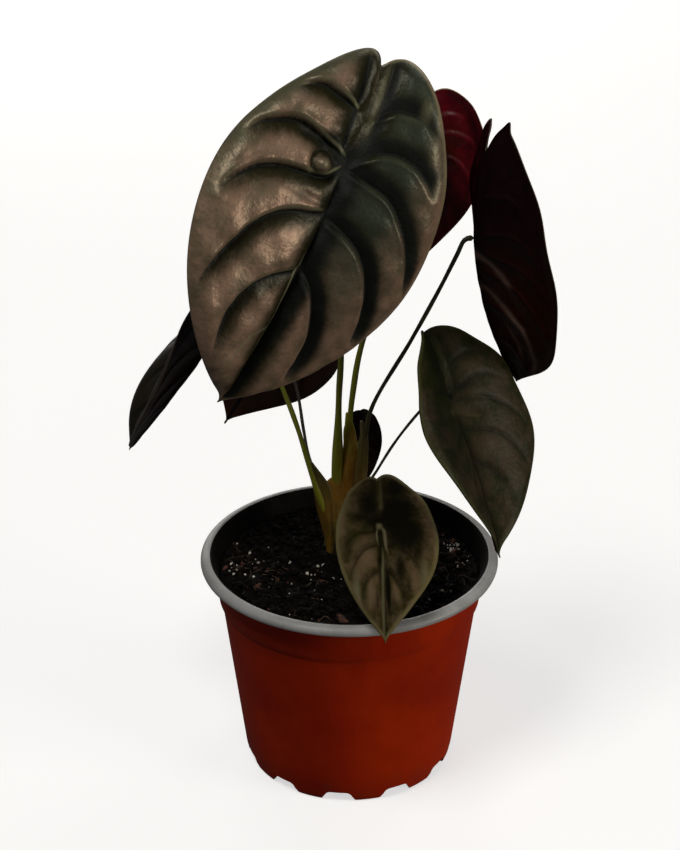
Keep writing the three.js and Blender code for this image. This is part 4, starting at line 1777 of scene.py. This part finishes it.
    def petiole(self) -> Piece:
        """Makes the petiole: a grid rolled up round its path, thicker at the base."""
        line = self.path(self.stalk_rows + 1)
        aim = unit(np.gradient(line, axis=0))
        side = unit(np.cross(aim, (0.2, -1, 0.1)))
        front = np.cross(side, aim)
        climb, height = np.linspace(0, 1, self.stalk_rows + 1), line[:, 2]
        swell = smooth(self.swell_from, self.swell_from - self.swell_length, height)
        flare = 1 + 0.45 * smooth(0.965, 1.0, climb)
        knobs = 0.94 + 0.06 * np.cos(climb * 40)
        radius = self.petiole_radius * (1 + self.base_swell * swell) * flare * knobs
        radius[[0, -1]] = 0
        piece, across, along = Bench.sheet(f"stalk_{self.name}", self.stalk_sides, self.stalk_rows)
        row = np.rint(along * self.stalk_rows).astype(int)
        angle = across * 2 * math.pi
        groove = 1 - 0.12 * bell(np.angle(np.exp(1j * (angle - math.pi / 2))), 0.5)
        ring = np.cos(angle)[:, None] * side[row] + np.sin(angle)[:, None] * front[row]
        Bench.shape(piece, (line[row] + ring * (radius[row] * groove)[:, None]) * MM)
        share = np.clip((height - SOIL_LINE) / max(self.seat[2] - SOIL_LINE, 1), 0, 1)
        Bench.store(piece, "climb", (share * smooth(90, 100, height))[row])
        Bench.weld(piece)
        Bench.paint(piece, self.stalk.surface())
        Bench.place(piece, Slot.PETIOLE, f"petiole_{self.name}")
        return piece

    def build(self) -> list[Piece]:
        """Makes the leaf.

        Returns:
            Its blade and its petiole.
        """
        return [self.blade(), self.petiole()]


def green_stalk(name: str) -> StalkFinish:
    """Yellow-green stalk that is orange-brown at the base."""
    return StalkFinish(name, base=srgb(134, 92, 24), middle=srgb(148, 152, 30),
                       top=srgb(130, 140, 44), streak=srgb(172, 168, 80), turn=0.14)


def dark_stalk(name: str) -> StalkFinish:
    """Olive stalk that is brown at the base."""
    return StalkFinish(name, base=srgb(112, 80, 28), middle=srgb(88, 86, 46),
                       top=srgb(64, 70, 48), streak=srgb(104, 102, 68), turn=0.35)


SMOOTH = Relief(height=1.1, tip_width=5.0, crest=0.0, ripple=0.5)

TOP = Leaf(
    name="top", seat=(-1.9, -18, 284.9), heading=-129.8, droop=53.3, roll=-54.9, twist=-28.9,
    tip_length=108.2, lobe_length=57.6, half_width=51.6, tip_power=0.6, lobe_power=0.75,
    notch_depth=0.25, notch_width=0.33, point=0.04, tip_bend=38.1, lobe_bend=22.8, fold=-14.4,
    curl=36.4, sway=0.9, taper=0.36, petiole_radius=1.4,
    route=(
        (-5.5, 15.5, 74), (-5.5, 15, 125), (-5, 14, 147), (-4.5, 12, 170), (-3.5, 8, 195),
        (-5, 0, 274)),
    finish=COPPER, stalk=green_stalk("stalk_top_green"),
    relief=Relief(
        height=4.8, base_width=1.6, tip_width=7.5, crest=0.7, flat_margin=9.0, last=0.0, run=6.0,
        mirrored=True,
        dents=(
            (-0.07, -0.2, 0.07, 0.1, 2.4), (-0.05, -0.38, 0.05, 0.12, 1.8),
            (0.17, -0.2, 0.02, 0.16, 1.2))),
    marking=Marking(
        band_base=(1.2, 8.0), band_tip=(1.8, 0.7), band_depth=(0.8, 1.0), rib_shade=(1.5, 10.0),
        star=8, ridge_highlight=(0.9, 0.12), cool=(0.1, 1.3), crease=(1.0, 1.0), crease_reach=12.5,
        margin=2.4, edge=(0.35, 0.95), outer=(0.85, 0.0), rib_line=0.9,
        patches=(
            (-0.07, -0.2, 0.08, 0.11, 1.0), (-0.05, -0.38, 0.05, 0.1, 0.7),
            (0.175, -0.24, 0.018, 0.12, 0.5), (0.07, -0.09, 0.03, 0.05, 0.8),
            (-0.45, -0.09, 0.4, 0.02, 0.9), (-0.4, -0.25, 0.03, 0.14, 0.6),
            (0.3, -0.97, 0.08, 0.03, 0.6)),
        glows=(
            (0.05, -0.5, 0.12, 0.2, 0.7), (0.33, -0.45, 0.1, 0.2, 0.6), (0.6, 0.16, 0.14, 0.1, 0.8),
            (0.5, 0.6, 0.2, 0.12, 0.5), (0.15, 0.95, 0.4, 0.1, 0.8), (0.32, -0.17, 0.07, 0.08, 0.9),
            (0.55, -0.6, 0.15, 0.1, 0.6), (0.6, -0.18, 0.18, 0.1, 0.6),
            (0.75, -0.5, 0.1, 0.12, 0.9), (0.65, 0.32, 0.15, 0.04, 0.9),
            (-0.5, -0.2, 0.1, 0.06, 0.5), (-0.25, -0.35, 0.08, 0.12, 0.4)),
        streaks=(
            (0.043, -0.185, 0.018, 0.035, 0.6), (0.33, -0.17, 0.05, 0.06, 0.4),
            (-0.55, 0.45, 0.12, 0.08, 0.5), (-0.35, 0.62, 0.15, 0.07, 0.5),
            (-0.12, 0.76, 0.15, 0.06, 0.5), (-0.42, 0.33, 0.04, 0.14, 0.25),
            (-0.14, 0.4, 0.04, 0.16, 0.25), (0.5, -0.52, 0.06, 0.06, 0.35))),
    base_swell=0.95, swell_from=172, lump=(4.6, -9.6, 5.0, 2.5),
)
BACK = Leaf(
    name="back", seat=(26.6, 35, 274), heading=117, droop=67, roll=6.7, twist=0, tip_length=85,
    lobe_length=33.6, half_width=34.9, tip_power=0.84, lobe_power=0.64, notch_depth=0.14,
    notch_width=0.26, point=0.04, tip_bend=5.5, lobe_bend=10, fold=-16, curl=45, sway=0,
    petiole_radius=1.35,
    route=(
        (-1.5, 19, 74), (-0.5, 19, 124), (0, 20, 150), (1.5, 21, 167), (5.5, 23, 190),
        (30, 20, 262)),
    finish=COPPER, stalk=green_stalk("stalk_back_green"), base_swell=0.9, swell_from=160,
    relief=Relief(height=1.7, crest=0.3), rib_thickness=1.1,
    marking=Marking(glows=((0.15, -0.45, 0.35, 0.18, 0.8),)),
)
RIGHT = Leaf(
    name="right", seat=(51.7, 8, 243.8), heading=42, droop=85.1, roll=22.3, twist=1.7,
    tip_length=69.7, lobe_length=53, half_width=45.4, tip_power=0.55, lobe_power=0.7,
    notch_depth=0.29, notch_width=0.18, point=0.06, tip_bend=-25.5, lobe_bend=-22, fold=-24.5,
    curl=9.1, sway=-0.3, petiole_radius=0.95,
    route=(
        (0.5, 14, 74), (3, 14, 126), (6.5, 13, 148), (9.5, 12, 164), (26, 9, 197.5), (37.5, 7, 222),
        (44, 6, 237)),
    finish=BRONZE, stalk=dark_stalk("stalk_right_olive"), base_swell=1.3, swell_from=165,
    horn=(0.07, 0.0), relief=SMOOTH, rib_thickness=1.1,
    marking=Marking(
        glows=((0.5, -0.5, 0.4, 0.6, 1.0),),
        strokes=(
            (0.022, 0.7, ((0.05, 0.12), (0.09, 0.04), (0.14, -0.16), (0.2, -0.3), (0.26, -0.38))),
            (
                0.02, 0.9,
                (
                    (0.3, 0.02), (0.33, -0.06), (0.42, -0.24), (0.5, -0.35), (0.56, -0.42),
                    (0.66, -0.45), (0.78, -0.43), (0.9, -0.36), (0.95, -0.28))),
            (0.015, 0.5, ((0.55, -0.2), (0.7, -0.28), (0.85, -0.25))))),
)
LOWER_RIGHT = Leaf(
    name="lower_right", seat=(41.2, -12, 180.4), heading=-55.6, droop=59.6, roll=-16.3, twist=-5.6,
    tip_length=66.4, lobe_length=33.5, half_width=37.1, tip_power=0.97, lobe_power=0.85,
    notch_depth=0.12, notch_width=0.3, point=0.05, tip_bend=-2, lobe_bend=10.1, fold=-39.4,
    curl=45.6, sway=1.9, petiole_radius=0.65,
    route=(
        (3, 10.5, 74), (6, 9, 123), (12.5, 7, 137.5), (20, 4, 152.5), (29, 0, 167.5),
        (33, -5.5, 175)),
    finish=OLIVE, stalk=dark_stalk("stalk_lower_right_olive"),
    relief=Relief(
        height=1.0, base_width=2.6, tip_width=5.0, crest=0.1,
        dents=((0.02, 0.1, 0.04, 0.1, 0.8), (0.12, 0.2, 0.04, 0.12, 0.8))),
    marking=Marking(
        band_base=(1.6, 1.6), band_tip=(1.8, 1.8), band_depth=(0.4, 0.45), ridge_highlight=(0.15, 0.15),
        cool=(1.0, 0.4), star=3, crease=(0.4, 0.5),
        patches=(
            (-0.1, -0.5, 0.12, 0.3, 0.5), (-0.1, 0.15, 0.1, 0.2, 0.6),
            (-0.5, -0.1, 0.25, 0.45, 0.5), (0.25, -0.7, 0.5, 0.3, 0.55),
            (-0.5, 0.45, 0.15, 0.15, 0.4), (0.72, -0.35, 0.2, 0.25, 0.5),
            (0.05, 0.65, 0.1, 0.12, 0.3)),
        glows=(
            (0.35, 0.3, 0.1, 0.2, 0.9), (0.45, 0.45, 0.15, 0.1, 0.8), (0.55, -0.1, 0.15, 0.15, 0.7),
            (-0.3, 0.35, 0.08, 0.14, 0.8), (0.05, 0.05, 0.12, 0.25, 0.6)),
        streaks=(
            (0.09, -0.12, 0.035, 0.22, 0.9), (0.02, 0.3, 0.05, 0.1, 0.5),
            (-0.3, 0.36, 0.05, 0.1, 0.5)),
        strokes=(
            (0.012, 0.8, ((0.13, 0.1), (0.15, 0.2), (0.165, 0.3))),
            (0.015, 0.6, ((0.28, 0.38), (0.36, 0.44), (0.42, 0.45), (0.5, 0.42))),
            (0.015, 0.5, ((0.5, 0.35), (0.6, 0.42), (0.7, 0.36))),
            (0.014, 0.5, ((0.0, 0.25), (0.04, 0.35), (0.1, 0.45), (0.18, 0.52))))),
)
FRONT = Leaf(
    name="front", seat=(12.3, -27, 129.8), heading=-88.2, droop=21.7, roll=2.9, twist=5,
    tip_length=56.2, lobe_length=28.1, half_width=22.2, tip_power=0.96, lobe_power=0.74,
    notch_depth=0.13, notch_width=0.23, point=0.02, tip_bend=14.5, lobe_bend=3.8, fold=-16, curl=42,
    sway=0, lean=0.15, petiole_radius=1.0,
    route=((-2.5, 9.5, 74), (-1, 5, 108), (4, -8, 120), (11, -20, 122.5)), finish=YOUNG,
    stalk=dark_stalk("stalk_front_olive"),
    relief=Relief(height=0.9, base_width=2.6, tip_width=4.5, crest=0.1, flat_margin=6),
    marking=Marking(
        band_base=(2.6, 3.4), band_tip=(2.0, 1.6), band_depth=(0.5, 0.6), rib_shade=(1.5, 3),
        star=3, ridge_highlight=(0.1, 0.1), cool=(0.5, 0.5), margin=2.6, edge=(0.85, 0.8), crease=(0.6, 0.6),
        crease_reach=5,
        patches=(
            (0.0, 0.0, 0.2, 0.4, 0.9), (-0.12, 0.35, 0.5, 0.5, 1.05), (0.14, 0.5, 0.25, 0.5, 1.0),
            (-0.3, -0.2, 0.45, 0.28, 0.85), (-0.08, -0.35, 0.18, 0.3, 0.7),
            (0.3, 0.72, 0.2, 0.2, 0.8), (0.62, 0.11, 0.28, 0.06, 1.0), (0.44, 0.36, 0.2, 0.14, 0.8),
            (0.62, 0.5, 0.14, 0.08, 0.6), (0.22, -0.6, 0.2, 0.13, 0.55),
            (-0.6, 0.35, 0.35, 0.35, 0.85), (0.55, -0.37, 0.14, 0.05, 0.5),
            (0.7, -0.1, 0.16, 0.05, 0.6), (0.36, -0.03, 0.06, 0.05, 0.8)),
        glows=(
            (0.32, -0.28, 0.12, 0.18, 1.0), (0.6, -0.22, 0.16, 0.07, 1.0),
            (0.58, 0.28, 0.12, 0.07, 1.0), (0.08, 0.9, 0.15, 0.08, 0.6),
            (0.5, 0.65, 0.15, 0.08, 0.7), (0.1, -0.15, 0.08, 0.08, 0.4),
            (-0.1, -0.72, 0.3, 0.1, 0.7)),
        streaks=(
            (0.04, 0.0, 0.03, 0.06, 1.0), (0.28, 0.3, 0.06, 0.1, 0.25),
            (0.62, -0.48, 0.18, 0.08, 0.8), (0.6, 0.82, 0.25, 0.12, 0.8),
            (-0.5, -0.6, 0.3, 0.12, 0.55), (-0.6, 0.75, 0.15, 0.12, 0.5),
            (0.1, -0.86, 0.3, 0.06, 0.5)),
        strokes=(
            (0.02, 1.0, ((0.04, 0.03), (0.1, 0.09), (0.18, 0.1), (0.25, 0.11), (0.31, 0.14))),
            (0.013, 0.8, ((0.05, -0.04), (0.12, -0.06), (0.22, -0.04))),
            (
                0.02, 1.0,
                ((0.25, 0.04), (0.35, 0.04), (0.45, 0.02), (0.6, 0.01), (0.8, -0.01), (1.0, -0.01)),
            ),
            (0.02, 1.0, ((0.4, 0.03), (0.55, 0.01), (0.7, 0.0), (0.9, -0.01), (1.1, -0.01))))),
)
LEFT = Leaf(
    name="left", seat=(-50, 18, 206.6), heading=166.7, droop=58.8, roll=5.8, twist=-26.8,
    tip_length=83.7, lobe_length=34, half_width=38.9, tip_power=0.71, lobe_power=0.64,
    notch_depth=0.2, notch_width=0.3, point=0.04, tip_bend=-6.2, lobe_bend=5, fold=-36.5, curl=46,
    sway=1, petiole_radius=1.15,
    route=(
        (-8, 14, 74), (-7.6, 13.4, 97), (-10, 12.8, 112.5), (-14.6, 12, 126), (-18, 12.5, 138),
        (-22.5, 13, 154.5), (-27.5, 14.5, 169), (-37, 16.5, 193)),
    finish=MAROON, stalk=green_stalk("stalk_left_green"), base_swell=1.4, swell_from=142,
    relief=SMOOTH, rib_thickness=1.1,
)
REAR_LEFT = Leaf(
    name="rear_left", seat=(-25.4, 42, 191.1), heading=121.5, droop=49.4, roll=49.5, twist=0,
    tip_length=81.8, lobe_length=31.8, half_width=29.4, tip_power=0.98, lobe_power=0.64,
    notch_depth=0.12, notch_width=0.25, point=0.04, tip_bend=14, lobe_bend=12, fold=-14, curl=45,
    sway=0, petiole_radius=0.75,
    route=(
        (-9.5, 18.5, 74), (-10.5, 18, 110), (-13, 18, 124), (-17.5, 22, 134.5), (-20, 25, 147),
        (-23, 30, 165), (-29, 33.5, 184)),
    finish=replace(BRONZE, name="brown_blade", under_warm=srgb(78, 44, 22)),
    stalk=StalkFinish(
        "stalk_rear_left_violet", base=srgb(92, 82, 40), middle=srgb(88, 82, 72),
        top=srgb(78, 72, 68), streak=srgb(116, 108, 100)),
    relief=SMOOTH, rib_thickness=1.1, marking=Marking(glows=((0.5, 0.0, 1.0, 1.0, 0.9),)),
)
SMALL = Leaf(
    name="small", seat=(5.6, 42, 140.4), heading=73, droop=76, roll=-22.4, twist=0, tip_length=29,
    lobe_length=11, half_width=8.9, tip_power=0.8, lobe_power=0.64, notch_depth=0.12,
    notch_width=0.3, point=0.04, tip_bend=15.6, lobe_bend=8.2, fold=-20, curl=40, sway=0,
    petiole_radius=0.8, route=((-5, 22.5, 74), (-2.5, 25.5, 112), (1, 33, 127), (5.5, 37, 137.5)),
    finish=replace(MAROON, name="dark_blade", under=srgb(20, 11, 5), under_rib=srgb(12, 8, 4)),
    stalk=dark_stalk("stalk_small_olive"),
    relief=Relief(height=0.3, tip_width=3.0, crest=0.0, ripple=0.3), thickness=0.7,
    rib_thickness=0.8, pitch=0.7,
)
LEAVES = (TOP, BACK, RIGHT, LOWER_RIGHT, FRONT, LEFT, REAR_LEFT, SMALL)


# --- Crown ---


@dataclass
class Crown:
    """The short fleshy stem that the petioles grow from."""

    x: float = -3.8
    y: float = 15.4
    side: Rows = (
        (0, 60), (6, 61.5), (9.6, 68), (10.2, 78), (8.6, 86), (6.2, 91), (5.4, 96), (4.8, 100),
        (3.4, 103), (0, 104),
    )
    flutes: int = 5
    flute_depth: float = 0.08
    lump_depth: float = 0.1
    lump_size: tuple[float, float, float] = (5, 5, 16)
    segments: int = 72
    finish: StalkFinish = StalkFinish(
        "crown_flesh", base=srgb(46, 36, 16), middle=srgb(84, 66, 26), top=srgb(112, 84, 32),
        streak=srgb(40, 30, 14))

    def build(self) -> Piece:
        """Makes the crown and takes the place of its node.

        Returns:
            The crown.
        """
        piece = Bench.turned("crown_stem", list(self.side), self.segments)
        with Bench.editing(piece):
            bpy.ops.mesh.subdivide(number_cuts=1)
        points = Bench.points(piece) / MM
        around, height = np.arctan2(points[:, 1], points[:, 0]), points[:, 2]
        flutes = self.flute_depth * np.sin(self.flutes * around + height / 9)
        lumps = self.lump_depth * bumps(points / self.lump_size)
        points[:, :2] *= (1 + flutes + lumps)[:, None]
        points[:, :2] += (self.x, self.y)
        Bench.shape(piece, points * MM)
        Bench.store(piece, "climb", smooth(88, 112, height) * 0.2)
        Bench.paint(piece, self.finish.surface())
        Bench.place(piece, Slot.CROWN, "crown")
        return piece


@dataclass(frozen=True)
class Sheath:
    """Clasping base of a leaf, which wraps the younger ones.

    The stations are rows of x, y, height, half width and half thickness. The margin is the share
    round the section where it lies: 0 is the right side and 0.5 the left.
    """

    name: str
    stations: Rows
    finish: SheathFinish
    margin: float = 0.0
    wave: float = 0.3
    wave_scale: tuple[float, float, float] = (300, 300, 110)
    pleats: int = 5
    sides: int = 40
    rows: int = 90

    def build(self) -> Piece:
        """Makes the sheath.

        Returns:
            The sheath.
        """
        stations = np.array(self.stations, float)
        piece, around, along = Bench.loft(self.name, stations, self.sides, self.rows)
        points = Bench.points(piece)
        gap = np.abs(np.angle(np.exp(2j * math.pi * (around - self.margin)))) / math.pi
        folds = bumps(points * self.wave_scale)
        pleats = np.sin(FULL_TURN * around * self.pleats + 2 * along) * (along > 0) * (along < 1)
        waves = MM * self.wave * (folds + 0.35 * pleats)
        points[:, 1] += waves * smooth(0, 0.1, along) * smooth(1, 0.9, along)
        Bench.shape(piece, points)
        Bench.store(piece, "climb", along)
        Bench.store(piece, "rim", smooth(0.3, 0.05, gap) * smooth(0.55, 0.75, along))
        Bench.weld(piece)
        Bench.paint(piece, self.finish.surface())
        Bench.place(piece, Slot.CROWN)
        return piece


SHEATHS = (
    Sheath(
        "sheath_core",
        (
            (-3.8, 15.4, 86, 7.0, 6.0), (-4.2, 15, 95, 5.4, 4.8), (-4.6, 14.6, 102, 5.8, 4.6),
            (-5.4, 14.4, 109, 7.0, 4.2), (-5.8, 14.2, 116, 8.0, 3.6), (-5.4, 14.2, 122, 8.4, 2.8),
            (-5.0, 14.4, 126, 6.4, 2.0), (-4.6, 14.6, 129, 3.4, 1.2)),
        SheathFinish(
            "sheath_flesh", low=srgb(84, 72, 32), high=srgb(148, 104, 28), rim=srgb(130, 106, 44),
            streak=srgb(156, 128, 60))),
    Sheath(
        "sheath_left",
        (
            (-6.5, 13.2, 96, 3.6, 2.4), (-8.2, 12.8, 106, 4.2, 2.2), (-9.8, 12.5, 115, 4.6, 1.8),
            (-11.0, 12.2, 122, 4.4, 1.3), (-12.4, 12.2, 127, 3.6, 1.0),
            (-13.8, 12.3, 130.5, 2.8, 0.8), (-15.4, 12.4, 134, 1.9, 0.7),
            (-17.0, 12.5, 138, 0.8, 0.5)),
        SheathFinish(
            "sheath_left_skin", low=srgb(120, 88, 30), high=srgb(84, 80, 38), rim=srgb(34, 28, 20),
            streak=srgb(128, 118, 62)),
        wave=0.25),
    Sheath(
        "sheath_middle",
        (
            (-1.2, 14.2, 94, 4.8, 4.2), (-0.6, 14.4, 108, 5.2, 3.8), (0.3, 15, 122, 4.8, 3.2),
            (0.6, 15.6, 134, 4.0, 2.6), (0.5, 16.6, 144, 3.2, 2.0), (0.2, 17.8, 151, 2.4, 1.5),
            (-0.4, 18.6, 155.5, 1.5, 1.1), (-0.8, 19.2, 158.5, 0.8, 0.6)),
        SheathFinish(
            "sheath_middle_skin", low=srgb(156, 102, 20), high=srgb(146, 140, 40),
            rim=srgb(168, 172, 96), streak=srgb(170, 140, 60)),
        margin=0.5),
    Sheath(
        "sheath_right",
        (
            (3.0, 13.6, 100, 2.4, 2.4), (3.6, 13.5, 116, 3.0, 2.5), (4.7, 13.2, 128, 2.9, 2.1),
            (5.6, 13, 138, 2.6, 1.7), (6.1, 12.8, 146, 2.2, 1.3), (6.3, 12.8, 151, 1.7, 1.1),
            (5.6, 12.8, 155, 1.1, 0.8), (5.2, 12.8, 157.5, 0.6, 0.5)),
        SheathFinish(
            "sheath_right_skin", low=srgb(118, 94, 36), high=srgb(110, 108, 58),
            rim=srgb(160, 114, 102), streak=srgb(146, 142, 92)),
        margin=0.5),
)


# --- Studio ---


@dataclass(frozen=True)
class Lamp:
    """One soft square light. Its place and its side are metres, and its power is watts."""

    name: str
    place: tuple[float, float, float]
    size: float
    power: float
    colour: Colour

    def build(self, target: Vector) -> None:
        """Adds the light, facing the target, which is in metres."""
        turn = (target - Vector(self.place)).to_track_quat("-Z", "Y").to_euler()
        Bench.clear()
        bpy.ops.object.light_add(type="AREA", location=self.place, rotation=turn)
        lamp = bpy.context.object
        lamp.name = self.name
        lamp.data.size, lamp.data.energy, lamp.data.color = self.size, self.power, self.colour


@dataclass
class Studio:
    """Camera, pale floor and backdrop, and soft lights."""

    camera_place: tuple[float, float, float] = (-4.06, -780.1, 549.3)
    camera_tilt: float = 63.59
    lens: float = 86.97
    sensor: float = 36.0
    floor_radius: float = 2600.0
    # The floor's section, as shares of its radius.
    floor_section: Rows = (
        (0, 0), (0.3, 0), (0.8, 0), (0.9, 0.02), (0.97, 0.08), (1, 0.2), (1, 1.2), (0, 1.25),
    )
    floor_glow: float = 0.62
    floor_colour: Colour = srgb(196, 196, 196)
    world_light: float = 0.065
    world_colour: Colour = (1, 0.98, 0.95)
    target: tuple[float, float, float] = (0, 0, 160)
    lamps: tuple[Lamp, ...] = (
        Lamp("sky_light", (-0.6, -0.75, 2.15), 0.75, 22.0, (1, 0.98, 0.93)),
        Lamp("low_light", (1.7, -0.8, 0.5), 0.8, 15.0, (1, 0.94, 0.84)),
        Lamp("rim_light", (0.9, 1.3, 1.3), 0.8, 4.0, (1, 0.98, 0.95)),
        Lamp("back_light", (-0.3, 1.7, 0.45), 0.9, 9.0, (1, 0.97, 0.92)),
    )

    def camera(self) -> None:
        """Puts the camera at the picture's viewing angle."""
        Bench.clear()
        place = [value * MM for value in self.camera_place]
        tilt = math.radians(self.camera_tilt)
        bpy.ops.object.camera_add(location=place, rotation=(tilt, 0, 0))
        camera = bpy.context.object
        camera.data.lens, camera.data.sensor_width = self.lens, self.sensor
        camera.data.clip_start, camera.data.clip_end = 0.01, 50
        bpy.context.scene.camera = camera

    def floor(self) -> None:
        """Makes the pale floor, which curves up into a backdrop all round."""
        profile = [(x * self.floor_radius, z * self.floor_radius) for x, z in self.floor_section]
        stage = Bench.turned("studio_floor", profile, 96)
        Bench.flip(stage)
        g = Graph("pale_floor")
        glow = g.lay((0.98, 0.98, 0.98), (1, 1, 1), g.grain(g.place(), 1.5, 2), 0.3, 0.7)
        Bench.paint(stage, g.finish(
            (*self.floor_colour, 1), 0.9, Emission_Color=glow, Emission_Strength=self.floor_glow,
            Specular_IOR_Level=0.0))
        Bench.smooth(stage)
        stage.visible_diffuse = stage.visible_glossy = stage.visible_shadow = False

    def air(self) -> None:
        """Sets the faint light that comes from all round, and plain colours."""
        world = bpy.data.worlds.new("studio_air")
        world.use_nodes = True
        background = world.node_tree.nodes["Background"]
        background.inputs["Color"].default_value = (*self.world_colour, 1)
        background.inputs["Strength"].default_value = self.world_light
        scene = bpy.context.scene
        scene.world = world
        scene.view_settings.view_transform = "Standard"
        scene.view_settings.look = "None"

    def build(self) -> None:
        """Sets up the whole studio."""
        self.camera()
        self.floor()
        for lamp in self.lamps:
            lamp.build(Vector([value * MM for value in self.target]))
        self.air()


def main() -> None:
    """Builds the studio, the pot, the peat, the crown, the sheaths and the leaves."""
    logging.basicConfig(level=logging.INFO, format="%(name)s %(message)s", stream=sys.stdout)
    for assembly in (Studio(), Pot(), Peat(), Crown(), *SHEATHS, *LEAVES):
        assembly.build()
    Bench.clear()


if __name__ == "__main__":
    main()
